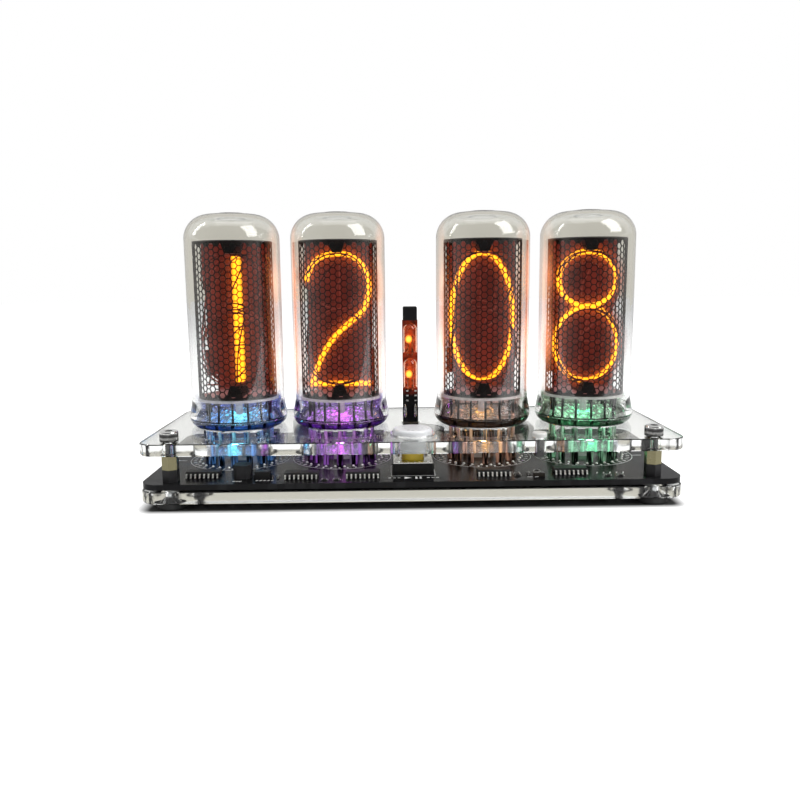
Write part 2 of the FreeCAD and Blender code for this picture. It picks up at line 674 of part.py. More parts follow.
def insulators():
    """Disc under the cage on a post, and the two wedges that hold the stack of digits."""
    radius = CAGE_RADIUS + SPACER_DISC_OVERHANG
    bottom = CAGE_LIFT - CAGE_PLATE_THICKNESS - SPACER_DISC_THICKNESS
    post_foot = GLASS_RECESS_DEPTH + GLASS_PRESS_THICKNESS
    disc = cylinder(radius, SPACER_DISC_THICKNESS, 0, 0, bottom)
    post = cylinder(STEM_POST_RADIUS, bottom - post_foot, 0, 0, post_foot)
    half_base = HOLDER_BASE_WIDTH / 2
    half_tip = HOLDER_TIP_WIDTH / 2
    corners = [(-half_base, 0), (half_base, 0), (half_tip, HOLDER_HEIGHT), (-half_tip, HOLDER_HEIGHT),
               (-half_base, 0)]
    front = -HOLDER_DEPTH / 2
    pieces = [join([disc, post])]
    for level, way in ((CAGE_LIFT, 1), (CAGE_LIFT + CAGE_HEIGHT, -1)):
        outline = Part.makePolygon([FreeCAD.Vector(x, front, level + way * z) for x, z in corners])
        pieces.append(Part.Face(outline).extrude(FreeCAD.Vector(0, HOLDER_DEPTH, 0)))
    return group(pieces)


# Cathode digits. Strokes use shares of the digit: X runs from -1 to 1 and height from 0 to 1.

STROKES = {
    "0": [("loop", 0, 0.5, 1, 0.5)],
    "1": [("line", (0, 0), (0, 1))],
    "2": [("curve", (-0.98, 0.80), (-0.83, 0.90), (-0.55, 0.97), (-0.05, 1), (0.43, 0.98),
           (0.77, 0.91), (0.95, 0.79), (0.93, 0.67), (0.75, 0.56), (0.33, 0.47), (-0.08, 0.38),
           (-0.42, 0.27), (-0.65, 0.16), (-0.88, 0)),
          ("line", (-0.92, 0), (0.95, 0))],
    "3": [("curve", (-0.9, 0.85), (-0.5, 0.97), (0, 1), (0.6, 0.95), (0.85, 0.79), (0.6, 0.62),
           (-0.1, 0.56)),
          ("curve", (-0.1, 0.56), (0.7, 0.49), (1, 0.28), (0.7, 0.06), (0, 0), (-0.6, 0.04),
           (-0.95, 0.17))],
    "4": [("line", (0.45, 0), (0.45, 1)), ("line", (-1, 0.3), (1, 0.3)), ("line", (-0.97, 0.3), (0.43, 1))],
    "5": [("line", (-0.75, 1), (0.8, 1)), ("line", (-0.75, 1), (-0.85, 0.56)),
          ("curve", (-0.85, 0.57), (-0.3, 0.63), (0.35, 0.6), (0.9, 0.42), (0.95, 0.22), (0.6, 0.05),
           (0, 0), (-0.6, 0.04), (-0.95, 0.16))],
    "6": [("loop", 0, 0.28, 1, 0.28), ("curve", (-1, 0.28), (-0.88, 0.56), (-0.45, 0.82), (0.35, 1))],
    "7": [("line", (-1, 1), (1, 1)), ("curve", (0.98, 1), (0.45, 0.68), (0.05, 0.35), (-0.1, 0))],
    "8": [("loop", 0, 0.79, 0.92, 0.21), ("loop", 0, 0.29, 1, 0.29)],
    "9": [("loop", 0, 0.72, 1, 0.28), ("curve", (1, 0.72), (0.88, 0.44), (0.45, 0.18), (-0.35, 0))],
}


def digit_point(share):
    """Point of a stroke's middle line in the plane of the digit."""
    half_width = (DIGIT_WIDTH - DIGIT_STROKE) / 2
    height = DIGIT_HEIGHT - DIGIT_STROKE
    return FreeCAD.Vector(share[0] * half_width, 0, DIGIT_STROKE / 2 + share[1] * height)


def thick(face):
    return face.extrude(FreeCAD.Vector(0, DIGIT_THICKNESS, 0))


def ellipse_face(middle, half_width, half_height):
    """Ellipse in the XZ plane, as a face."""
    long_way = FreeCAD.Vector(half_width, 0, 0)
    high_way = FreeCAD.Vector(0, 0, half_height)
    if half_height > half_width:
        long_way, high_way = high_way, long_way
    return Part.Face(Part.Wire(Part.Ellipse(middle + long_way, middle + high_way, middle).toShape()))


def loop_stroke(x, z, half_width, half_height):
    middle = digit_point((x, z))
    reach_x = half_width * (DIGIT_WIDTH - DIGIT_STROKE) / 2
    reach_z = half_height * (DIGIT_HEIGHT - DIGIT_STROKE)
    outer = ellipse_face(middle, reach_x + DIGIT_STROKE / 2, reach_z + DIGIT_STROKE / 2)
    inner = ellipse_face(middle, reach_x - DIGIT_STROKE / 2, reach_z - DIGIT_STROKE / 2)
    return thick(outer).cut(thick(inner))


def line_stroke(start, end):
    """Straight bar, longer by half a stroke at each end so that corners close."""
    first = digit_point(start)
    last = digit_point(end)
    along = (last - first).normalize() * (DIGIT_STROKE / 2)
    across = FreeCAD.Vector(-along.z, 0, along.x)
    corners = [first - along + across, first - along - across, last + along - across, last + along + across]
    return thick(Part.Face(Part.makePolygon(corners + corners[:1])))


def curve_stroke(*shares):
    """Ribbon of constant width along a smooth curve."""
    middle = Part.BSplineCurve()
    middle.interpolate([digit_point(share) for share in shares])
    count = CURVE_SAMPLES * len(shares)
    span = middle.LastParameter - middle.FirstParameter
    sides = ([], [])
    for k in range(count + 1):
        place = middle.FirstParameter + span * k / count
        along = middle.tangent(place)[0]
        across = FreeCAD.Vector(-along.z, 0, along.x) * (DIGIT_STROKE / 2)
        sides[0].append(middle.value(place) + across)
        sides[1].append(middle.value(place) - across)
    edges = []
    for points in sides:
        side = Part.BSplineCurve()
        side.approximate(Points=points, Tolerance=0.01)
        edges.append(side.toShape())
    caps = [Part.makeLine(edges[0].Vertexes[end].Point, edges[1].Vertexes[end].Point) for end in (0, 1)]
    return thick(Part.Face(Part.Wire(Part.__sortEdges__(edges + caps))))


def digit(figure):
    """One cathode whose front face is at Y = 0 and whose foot is at Z = 0."""
    makers = {"loop": loop_stroke, "line": line_stroke, "curve": curve_stroke}
    strokes = [makers[stroke[0]](*stroke[1:]) for stroke in STROKES[figure]]
    return join(strokes) if len(strokes) > 1 else strokes[0]


def digit_stack():
    """All ten digits at their places in the cage."""
    foot = CAGE_LIFT + HOLDER_HEIGHT + DIGIT_HOLDER_GAP
    return {figure: moved(digit(figure), 0, place * STACK_PITCH - STACK_REACH, foot)
            for place, figure in enumerate(STACK_ORDER)}


def tube_nodes():
    """Every node of the four tubes."""
    shared = {"glass": glass_envelope(), "pins": tube_pins(), "insulators": insulators(),
              "anode_screen": anode_screen(), "anode_shield": anode_shield()}
    digits = digit_stack()
    nodes = {}
    for number, ((x, y), lit) in enumerate(zip(TUBE_CENTRES, LIT_DIGITS), start=1):
        for name, shape in shared.items():
            nodes["%s_%d" % (name, number)] = moved(shape, x, y, PLATE_TOP)
        unlit = group([digits[figure] for figure in STACK_ORDER if figure != lit])
        nodes["cathodes_%d" % number] = moved(unlit, x, y, PLATE_TOP)
        nodes["lit_digit_%d" % number] = moved(digits[lit], x, y, PLATE_TOP)
    return nodes


# Colon post

COLON_BOARD_BOTTOM = BOARD_TOP + COLON_HEADER_HEIGHT - COLON_PLUG_DEPTH
COLON_SHOULDER = PLATE_TOP + COLON_BOARD_SHOULDER_RISE


def colon_board():
    """Upright board with a narrower tongue at its head."""
    height = COLON_SHOULDER - COLON_BOARD_BOTTOM
    board = block(COLON_BOARD_WIDTH, COLON_BOARD_THICKNESS, height,
                  COLON_X, TUBE_ROW_Y, COLON_BOARD_BOTTOM)
    return join([board, colon_tongue()])


def colon_tongue():
    return block(COLON_TONGUE_WIDTH, COLON_BOARD_THICKNESS, COLON_TONGUE_HEIGHT,
                 COLON_X, TUBE_ROW_Y, COLON_SHOULDER)


def colon_header():
    body = block(COLON_HEADER_WIDTH, COLON_HEADER_DEPTH, COLON_HEADER_HEIGHT,
                 COLON_X, TUBE_ROW_Y, BOARD_TOP)
    slot = block(COLON_BOARD_WIDTH, COLON_BOARD_THICKNESS, COLON_PLUG_DEPTH,
                 COLON_X, TUBE_ROW_Y, COLON_BOARD_BOTTOM)
    return body.cut(slot)


def lamp_places():
    """Foot of each neon lamp: X, Y and level."""
    y = COLON_FRONT - LAMP_RADIUS - LAMP_BOARD_GAP
    lower = PLATE_TOP + LAMP_LOWER_RISE
    return [(COLON_X, y, lower), (COLON_X, y, lower + LAMP_PITCH)]


def lamp_glass():
    """Small closed bulb that stands on the level 0."""
    straight = LAMP_LENGTH - LAMP_RADIUS
    outside = revolved(profile_lines([(0, 0), (LAMP_RADIUS, 0), (LAMP_RADIUS, straight)])
                       + [dome_arc(LAMP_RADIUS, LAMP_RADIUS, LAMP_LENGTH)])
    inner = LAMP_RADIUS - LAMP_WALL
    inner_top = LAMP_LENGTH - LAMP_WALL
    cavity = revolved(profile_lines([(0, LAMP_WALL), (inner, LAMP_WALL), (inner, inner_top - inner)])
                      + [dome_arc(inner, inner, inner_top)])
    return outside.cut(cavity).cut(lamp_wires(ELECTRODE_RADIUS))


def lamp_wires(radius):
    """Two upright wires through the foot of a lamp."""
    half = ELECTRODE_SPACING / 2
    return group([cylinder(radius, LAMP_WALL, x, 0, 0) for x in (-half, half)])


def colon_lamps():
    bulb = lamp_glass()
    return group([moved(bulb, x, y, z) for x, y, z in lamp_places()])


def lamp_electrodes():
    """Electrodes inside the bulbs, each with a lead that bends back to the board."""
    half = ELECTRODE_SPACING / 2
    lead_drop = LAMP_LEAD_RADIUS * 3
    pieces = []
    for x, y, z in lamp_places():
        for side in (-half, half):
            rod = cylinder(ELECTRODE_RADIUS, ELECTRODE_LENGTH + LAMP_WALL, x + side, y, z)
            drop = cylinder(LAMP_LEAD_RADIUS, lead_drop, x + side, y, z - lead_drop)
            start = FreeCAD.Vector(x + side, y, z - lead_drop)
            back = Part.makeCylinder(LAMP_LEAD_RADIUS, COLON_FRONT - y, start, FreeCAD.Vector(0, 1, 0))
            knee = Part.makeSphere(LAMP_LEAD_RADIUS, start)
            pieces.append(join([rod, drop, knee, back]))
    return group(pieces)


def colon_cap():
    """Black hood over the tongue of the colon board."""
    width = COLON_TONGUE_WIDTH + 2 * COLON_CAP_WALL
    height = COLON_TONGUE_HEIGHT + COLON_CAP_ROOF
    front = COLON_FRONT - COLON_CAP_FRONT_DEPTH
    rear = COLON_FRONT + COLON_BOARD_THICKNESS + COLON_CAP_REAR_DEPTH
    hood = block(width, rear - front, height, COLON_X, (front + rear) / 2, COLON_SHOULDER)
    hood = hood.makeFillet(COLON_CAP_EDGE_ROUND, edges_at(hood, COLON_SHOULDER + height))
    return hood.cut(colon_tongue())


# Push button

SWITCH_TOP = BOARD_TOP + SWITCH_BASE_HEIGHT
COVER_TOP = SWITCH_TOP + SWITCH_COVER_THICKNESS


def switch_base():
    base = block(SWITCH_SIZE, SWITCH_SIZE, SWITCH_BASE_HEIGHT, BUTTON_X, BUTTON_Y, BOARD_TOP)
    base = base.makeChamfer(SWITCH_EDGE_BREAK, upright_edges(base))
    well_radius = STEM_COLLAR_RADIUS + STEM_CLEARANCE
    well_bottom = BOARD_TOP + SWITCH_WELL_FLOOR
    well = cylinder(well_radius, SWITCH_TOP - well_bottom, BUTTON_X, BUTTON_Y, well_bottom)
    return base.cut(well)


def switch_cover():
    """Metal cover with a round opening for the stem and four rivet heads."""
    size = SWITCH_SIZE - 2 * SWITCH_COVER_INSET
    sheet = block(size, size, SWITCH_COVER_THICKNESS, BUTTON_X, BUTTON_Y, SWITCH_TOP)
    reach = SWITCH_SIZE / 2 - RIVET_INSET
    rivets = [cylinder(RIVET_RADIUS, RIVET_HEIGHT, BUTTON_X + sx * reach, BUTTON_Y + sy * reach, COVER_TOP)
              for sx in (-1, 1) for sy in (-1, 1)]
    opening = cylinder(STEM_RADIUS + STEM_CLEARANCE, SWITCH_COVER_THICKNESS, BUTTON_X, BUTTON_Y, SWITCH_TOP)
    return join([sheet] + rivets).cut(opening)


def switch_stem():
    """Plunger with a collar that stays under the cover and a square boss for the cap."""
    collar_top = SWITCH_TOP - STEM_COVER_GAP
    collar_bottom = collar_top - STEM_COLLAR_HEIGHT
    shaft_top = COVER_TOP + STEM_RISE
    collar = cylinder(STEM_COLLAR_RADIUS, STEM_COLLAR_HEIGHT, BUTTON_X, BUTTON_Y, collar_bottom)
    shaft = cylinder(STEM_RADIUS, shaft_top - collar_top, BUTTON_X, BUTTON_Y, collar_top)
    boss = block(STEM_BOSS_SIZE, STEM_BOSS_SIZE, STEM_BOSS_HEIGHT, BUTTON_X, BUTTON_Y, shaft_top)
    return join([collar, shaft, boss])


def button_cap():
    """Round cap whose flange is too wide to leave through the hole in the top plate."""
    flange_top = PLATE_BOTTOM - CAP_FLANGE_GAP
    flange_bottom = flange_top - CAP_FLANGE_HEIGHT
    top = PLATE_TOP + CAP_TOP_RISE
    body = cylinder(CAP_RADIUS, top - flange_bottom, BUTTON_X, BUTTON_Y, flange_bottom)
    body = body.makeFillet(CAP_EDGE_ROUND, circles_at(body, top, CAP_RADIUS))
    flange = cylinder(CAP_FLANGE_RADIUS, CAP_FLANGE_HEIGHT, BUTTON_X, BUTTON_Y, flange_bottom)
    seat = COVER_TOP + STEM_RISE
    boss_room = block(STEM_BOSS_SIZE, STEM_BOSS_SIZE, STEM_BOSS_HEIGHT, BUTTON_X, BUTTON_Y, seat)
    shaft_room = cylinder(STEM_RADIUS, max(seat - flange_bottom, CAP_FLANGE_HEIGHT), BUTTON_X, BUTTON_Y,
                          min(seat - CAP_FLANGE_HEIGHT, flange_bottom))
    return join([body, flange]).cut(shaft_room).cut(boss_room)


# Light pipe and sensor

def light_pipe():
    head_top = PLATE_TOP + PIPE_HEAD_HEIGHT
    head = cylinder(PIPE_HEAD_RADIUS, PIPE_HEAD_HEIGHT, PIPE_X, PIPE_Y, PLATE_TOP)
    head = head.makeFillet(PIPE_HEAD_ROUND, circles_at(head, head_top, PIPE_HEAD_RADIUS))
    stem = cylinder(PIPE_STEM_RADIUS, PIPE_REACH, PIPE_X, PIPE_Y, PLATE_TOP - PIPE_REACH)
    return join([head, stem])


def light_sensor():
    return block(SENSOR_LENGTH, SENSOR_WIDTH, SENSOR_HEIGHT, PIPE_X, PIPE_Y, BOARD_TOP)


# Chips

def gull_leg(width, body_edge, body_middle):
    """Bent leg that leaves a body towards -Y, centred on X = 0 and standing on the level 0."""
    heel = body_edge + CHIP_LEG_REACH - CHIP_LEG_FOOT
    toe = body_edge + CHIP_LEG_REACH
    t = CHIP_LEG_THICKNESS
    outline = [(body_edge, body_middle), (body_edge, body_middle + t), (heel, body_middle + t),
               (heel + t, t), (toe, t), (toe, 0), (heel, 0), (heel - t, body_middle),
               (body_edge, body_middle)]
    face = Part.Face(Part.makePolygon([FreeCAD.Vector(-width / 2, -y, z) for y, z in outline]))
    return face.extrude(FreeCAD.Vector(width, 0, 0))


def leg_row(count, pitch, width, body_edge, body_middle):
    leg = gull_leg(width, body_edge, body_middle)
    return [moved(leg, (k - (count - 1) / 2) * pitch, 0, 0) for k in range(count)]


def flat_chip(legs_per_side):
    """Chip with legs along its front and its rear, standing on the level 0."""
    length = (legs_per_side - 1) * CHIP_PITCH + 2 * CHIP_END_MARGIN
    body = block(length, CHIP_BODY_WIDTH, CHIP_BODY_HEIGHT, 0, 0, CHIP_STANDOFF)
    leg_level = CHIP_STANDOFF + CHIP_BODY_HEIGHT / 2
    row = leg_row(legs_per_side, CHIP_PITCH, CHIP_LEG_WIDTH, CHIP_BODY_WIDTH / 2, leg_level)
    return join([body] + row + [turned(leg, 180) for leg in row])


def driver_chips():
    chip = flat_chip(DRIVER_LEGS_PER_SIDE)
    return group([on_board(chip, place) for place in DRIVER_PLACES])


def clock_chip():
    return on_board(flat_chip(CLOCK_LEGS_PER_SIDE), CLOCK_CHIP_PLACE)


def controller():
    body = block(CONTROLLER_SIZE, CONTROLLER_SIZE, CONTROLLER_HEIGHT, 0, 0, CHIP_STANDOFF)
    row = leg_row(CONTROLLER_LEGS_PER_SIDE, CONTROLLER_PITCH, CONTROLLER_LEG_WIDTH, CONTROLLER_SIZE / 2,
                  CHIP_STANDOFF + CONTROLLER_HEIGHT / 2)
    legs = [turned(leg, quarter) for quarter in (0, 90, 180, 270) for leg in row]
    return on_board(join([body] + legs), CONTROLLER_PLACE)


# High-voltage supply

def boost_inductor():
    body = block(INDUCTOR_SIZE, INDUCTOR_SIZE, INDUCTOR_HEIGHT, 0, 0, 0)
    return on_board(body.makeChamfer(INDUCTOR_CORNER, upright_edges(body)), INDUCTOR_PLACE)


def rectifier_diode():
    body = block(DIODE_LENGTH, DIODE_WIDTH, DIODE_HEIGHT, 0, 0, 0)
    tabs = block(DIODE_LENGTH + 2 * DIODE_TAB_LENGTH, DIODE_WIDTH / 2, DIODE_TAB_HEIGHT, 0, 0, 0)
    return on_board(join([body, tabs]), DIODE_PLACE)


def boost_transistor():
    """Flat package with a metal tab at its rear and two legs at its front."""
    body = block(TRANSISTOR_LENGTH, TRANSISTOR_DEPTH, TRANSISTOR_HEIGHT, 0, 0, 0)
    edge = TRANSISTOR_DEPTH / 2
    tab = block(TRANSISTOR_LENGTH, 2 * TRANSISTOR_TAB_DEPTH, TRANSISTOR_TAB_THICKNESS, 0, edge, 0)
    legs = [block(TRANSISTOR_LEG_WIDTH, 2 * TRANSISTOR_LEG_REACH, TRANSISTOR_TAB_THICKNESS,
                  side * TRANSISTOR_LEG_SPACING / 2, -edge, 0) for side in (-1, 1)]
    return on_board(join([body, tab] + legs), TRANSISTOR_PLACE)


def supply_capacitor():
    foot = block(CAPACITOR_FOOT_SIZE, CAPACITOR_FOOT_SIZE, CAPACITOR_FOOT_HEIGHT, 0, 0, 0)
    can = cylinder(CAPACITOR_RADIUS, CAPACITOR_HEIGHT, 0, 0, 0)
    can = can.makeFillet(CAPACITOR_EDGE_ROUND, circles_at(can, CAPACITOR_HEIGHT, CAPACITOR_RADIUS))
    return on_board(join([foot, can]), CAPACITOR_PLACE)


# Backup cell

def cell_holder():
    """Round tray that takes the cell."""
    room = CELL_RADIUS + CELL_CLEARANCE
    tray = cylinder(room + HOLDER_WALL, HOLDER_FLOOR + CELL_THICKNESS, 0, 0, 0)
    return on_board(tray.cut(cylinder(room, CELL_THICKNESS, 0, 0, HOLDER_FLOOR)), CELL_PLACE)


def cell_clip():
    """Sheet spring over the cell, down to the board behind the tray."""
    edge = CELL_RADIUS + CELL_CLEARANCE + HOLDER_WALL
    level = HOLDER_FLOOR + CELL_THICKNESS
    reach = HOLDER_WALL + CELL_CLEARANCE + CLIP_REACH
    tongue = block(CLIP_WIDTH, reach, CLIP_THICKNESS, 0, edge - reach / 2, level)
    drop = block(CLIP_WIDTH, CLIP_THICKNESS, level + CLIP_THICKNESS, 0, edge + CLIP_THICKNESS / 2, 0)
    return join([tongue, drop])


def backup_cell():
    """Stepped round cell with its spring clip."""
    step = cylinder(CELL_STEP_RADIUS, CELL_STEP_HEIGHT, 0, 0, HOLDER_FLOOR)
    can = cylinder(CELL_RADIUS, CELL_THICKNESS - CELL_STEP_HEIGHT, 0, 0, HOLDER_FLOOR + CELL_STEP_HEIGHT)
    return on_board(group([join([step, can]), cell_clip()]), CELL_PLACE)


# Power inlet

def inlet_front():
    """Y of the closed inner end of the inlet."""
    return REAR_EDGE - BOARD_EDGE_INSET + INLET_OVERHANG - INLET_DEPTH


def inlet_tail_places():
    reach = (INLET_WIDTH - INLET_TAIL_WIDTH) / 2
    y = inlet_front() + INLET_DEPTH / 2
    return [(INLET_X - reach, y), (INLET_X + reach, y)]


def pill_bar(width, height, depth, front, bottom):
    """Bar along Y with a round-ended section, centred on the inlet."""
    bar = block(width, depth, height, INLET_X, front + depth / 2, bottom)
    long_edges = [e for e in bar.Edges if abs(e.BoundBox.YLength - depth) < 1e-6]
    return bar.makeFillet(height * INLET_ROUND_SHARE, long_edges)


def inlet_tongue():
    middle = BOARD_TOP + INLET_HEIGHT / 2
    y = inlet_front() + INLET_BACK_WALL + INLET_TONGUE_REACH / 2
    return block(INLET_TONGUE_WIDTH, INLET_TONGUE_REACH, INLET_TONGUE_THICKNESS, INLET_X, y,
                 middle - INLET_TONGUE_THICKNESS / 2)


def power_inlet():
    front = inlet_front()
    shell = pill_bar(INLET_WIDTH, INLET_HEIGHT, INLET_DEPTH, front, BOARD_TOP)
    mouth_width = INLET_WIDTH - 2 * INLET_WALL
    mouth_height = INLET_HEIGHT - 2 * INLET_WALL
    mouth = pill_bar(mouth_width, mouth_height, INLET_DEPTH - INLET_BACK_WALL,
                     front + INLET_BACK_WALL, BOARD_TOP + INLET_WALL)
    tail_height = INLET_TAIL_LENGTH + INLET_HEIGHT / 2
    tails = [block(INLET_TAIL_WIDTH, INLET_TAIL_WIDTH, tail_height, x, y, BOARD_TOP - INLET_TAIL_LENGTH)
             for x, y in inlet_tail_places()]
    return group([join([shell] + tails).cut(mouth), inlet_tongue()])


def all_nodes():
    nodes = {
        "rubber_feet": rubber_feet(),
        "base_plate": base_plate(),
        "base_screws": base_screws(),
        "board_washers": board_washers(),
        "main_board": main_board(),
        "spacer_nuts": spacer_nuts(),
        "standoffs": standoffs(),
        "top_plate": top_plate(),
        "top_screws": top_screws(),
        "pin_sockets": pin_sockets(),
        "tube_lights": tube_lights(),
        "colon_board": colon_board(),
        "colon_header": colon_header(),
        "colon_lamps": colon_lamps(),
        "lamp_electrodes": lamp_electrodes(),
        "colon_cap": colon_cap(),
        "switch_base": switch_base(),
        "switch_cover": switch_cover(),
        "switch_stem": switch_stem(),
        "button_cap": button_cap(),
        "light_pipe": light_pipe(),
        "light_sensor": light_sensor(),
        "driver_chips": driver_chips(),
        "clock_chip": clock_chip(),
        "controller": controller(),
        "boost_inductor": boost_inductor(),
        "rectifier_diode": rectifier_diode(),
        "boost_transistor": boost_transistor(),
        "supply_capacitor": supply_capacitor(),
        "cell_holder": cell_holder(),
        "backup_cell": backup_cell(),
        "power_inlet": power_inlet(),
    }
    nodes.update(tube_nodes())
    return nodes


os.makedirs("parts", exist_ok=True)
for node_name, node_shape in all_nodes().items():
    node_shape.exportStep("parts/" + node_name + ".step")
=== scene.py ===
"""Looks of the nixie tube clock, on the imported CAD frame. All lengths are in metres."""

import math

import bmesh
import bpy
from mathutils import Matrix, Vector


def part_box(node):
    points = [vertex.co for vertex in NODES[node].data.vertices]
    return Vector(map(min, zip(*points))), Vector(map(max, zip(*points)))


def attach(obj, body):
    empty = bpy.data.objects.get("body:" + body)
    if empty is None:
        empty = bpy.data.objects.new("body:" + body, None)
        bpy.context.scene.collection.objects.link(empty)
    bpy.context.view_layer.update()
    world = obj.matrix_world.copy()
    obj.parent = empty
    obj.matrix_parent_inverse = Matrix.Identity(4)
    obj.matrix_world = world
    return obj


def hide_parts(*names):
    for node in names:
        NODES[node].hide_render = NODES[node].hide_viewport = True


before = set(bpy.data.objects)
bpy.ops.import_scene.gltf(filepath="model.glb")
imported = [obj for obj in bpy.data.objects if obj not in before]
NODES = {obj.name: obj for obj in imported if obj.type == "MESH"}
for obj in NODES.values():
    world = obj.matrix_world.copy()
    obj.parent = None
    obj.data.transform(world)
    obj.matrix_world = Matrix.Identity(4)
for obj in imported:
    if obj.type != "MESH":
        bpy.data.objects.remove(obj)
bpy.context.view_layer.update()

MM = 0.001
SCENE = bpy.context.scene
TUBES = (1, 2, 3, 4)


# ---------------------------------------------------------------- places taken from the CAD boxes

def middle(node):
    low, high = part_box(node)
    return (low + high) / 2


TUBE_AXES = {k: middle("glass_%d" % k) for k in TUBES}
DISC_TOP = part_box("anode_shield_1")[0].z + 0.06 * MM
BOARD_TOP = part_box("main_board")[1].z
PLATE_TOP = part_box("top_plate")[1].z
GLASS_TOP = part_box("glass_1")[1].z


# ---------------------------------------------------------------- node material helpers

EVEN = (1.0, 1.0, 1.0)


def grey(level):
    return (level, level, level)


class Nodes:
    """Short calls for the nodes of one tree."""

    def __init__(self, tree):
        self.tree = tree

    def node(self, kind, **settings):
        made = self.tree.nodes.new(kind)
        for key, value in settings.items():
            setattr(made, key, value)
        return made

    def link(self, source, target):
        self.tree.links.new(source, target)

    def put(self, target, source):
        """Gives an input a number, a colour or the output of another node."""
        if isinstance(source, (int, float)):
            target.default_value = source
        elif isinstance(source, tuple):
            target.default_value = (*source, 1.0)
        else:
            self.link(source, target)

    def coords(self, space="Object"):
        return self.node("ShaderNodeTexCoord").outputs[space]

    def part(self, vector, name):
        """One coordinate of a vector."""
        made = self.node("ShaderNodeSeparateXYZ")
        self.link(vector, made.inputs["Vector"])
        return made.outputs[name]

    def axis(self, name):
        """One coordinate of the point that is shaded."""
        return self.part(self.coords(), name)

    def textured(self, kind, scale, stretch, **settings):
        """Texture node over the object's coordinates, stretched along each axis."""
        mapping = self.node("ShaderNodeMapping")
        mapping.inputs["Scale"].default_value = stretch
        self.link(self.coords(), mapping.inputs["Vector"])
        texture = self.node(kind, **settings)
        texture.inputs["Scale"].default_value = scale
        self.link(mapping.outputs["Vector"], texture.inputs["Vector"])
        return texture

    def noise(self, scale, detail=4.0, stretch=EVEN):
        texture = self.textured("ShaderNodeTexNoise", scale, stretch)
        texture.inputs["Detail"].default_value = detail
        return texture.outputs["Fac"]

    def cells(self, scale, stretch=EVEN, distance="EUCLIDEAN"):
        """Distance to the middles of the cells of a Voronoi pattern."""
        return self.textured("ShaderNodeTexVoronoi", scale, stretch, distance=distance).outputs["Distance"]

    def ramp(self, factor, *stops):
        """Colour ramp; each stop is (place, colour)."""
        made = self.node("ShaderNodeValToRGB")
        elements = made.color_ramp.elements
        elements.remove(elements[1])
        elements[0].position, elements[0].color = stops[0][0], (*stops[0][1], 1.0)
        for place, color in stops[1:]:
            elements.new(place).color = (*color, 1.0)
        self.link(factor, made.inputs["Fac"])
        return made.outputs["Color"]

    def shades(self, factor, dark, light):
        """From one colour to another over the middle of a noise."""
        return self.ramp(factor, (0.3, dark), (0.7, light))

    def spread(self, factor, low, high, start=0.0, end=1.0):
        """Maps start..end of a factor to low..high."""
        made = self.node("ShaderNodeMapRange")
        for name, value in (("From Min", start), ("From Max", end), ("To Min", low), ("To Max", high)):
            made.inputs[name].default_value = value
        self.link(factor, made.inputs["Value"])
        return made.outputs["Result"]

    def math(self, operation, *values):
        made = self.node("ShaderNodeMath", operation=operation)
        for socket, value in zip(made.inputs, values):
            self.put(socket, value)
        return made.outputs["Value"]

    def times(self, first, *others):
        for other in others:
            first = self.math("MULTIPLY", first, other)
        return first

    def plus(self, first, second):
        return self.math("ADD", first, second)

    def over(self, value, level):
        """1 where a value is above a level, else 0."""
        return self.math("GREATER_THAN", value, level)

    def under(self, value, level):
        """1 where a value is below a level, else 0."""
        return self.math("LESS_THAN", value, level)

    def band(self, value, low, high, fade):
        """1 between two values and 0 outside them, with soft ends."""
        rise = self.spread(value, 0.0, 1.0, low - fade, low + fade)
        fall = self.spread(value, 1.0, 0.0, high - fade, high + fade)
        return self.times(rise, fall)

    def mix(self, factor, first, second):
        """Mix of two colours; each is a socket or a colour."""
        made = self.node("ShaderNodeMix", data_type="RGBA")
        self.put(made.inputs["Factor"], factor)
        for socket, value in zip([s for s in made.inputs if s.type == "RGBA"], (first, second)):
            self.put(socket, value)
        return [s for s in made.outputs if s.type == "RGBA"][0]

    def vector(self, operation, *values):
        """Result of a vector node; each value is a socket or three numbers."""
        made = self.node("ShaderNodeVectorMath", operation=operation)
        for socket, value in zip(made.inputs, values):
            if isinstance(value, (tuple, Vector)):
                socket.default_value = value
            else:
                self.link(value, socket)
        return made.outputs["Value" if operation == "LENGTH" else "Vector"]

    def reach(self, axis, shares=(1.0, 1.0, 0.0)):
        """Distance of the shaded point from an axis or a point; shares weigh the three directions."""
        offset = self.vector("SUBTRACT", self.coords(), axis)
        return self.vector("LENGTH", self.vector("MULTIPLY", offset, shares))


class Shader(Nodes):
    """One material with a Principled shader."""

    def __init__(self, name, color, roughness=0.5, metallic=0.0):
        self.material = bpy.data.materials.new(name)
        self.material.use_nodes = True
        super().__init__(self.material.node_tree)
        self.bsdf = self.tree.nodes["Principled BSDF"]
        self.set("Base Color", color)
        self.set("Roughness", roughness)
        self.set("Metallic", metallic)

    def set(self, socket, value):
        self.put(self.bsdf.inputs[socket], value)

    def bump(self, height, strength, distance):
        made = self.node("ShaderNodeBump")
        made.inputs["Strength"].default_value = strength
        made.inputs["Distance"].default_value = distance
        self.link(height, made.inputs["Height"])
        self.set("Normal", made.outputs["Normal"])

    def vary_color(self, factor, dark, light):
        self.set("Base Color", self.shades(factor, dark, light))

    def glow(self, color, strength):
        self.set("Emission Color", color)
        self.set("Emission Strength", strength)

    def vary_roughness(self, factor, low, high):
        self.set("Roughness", self.spread(factor, low, high))


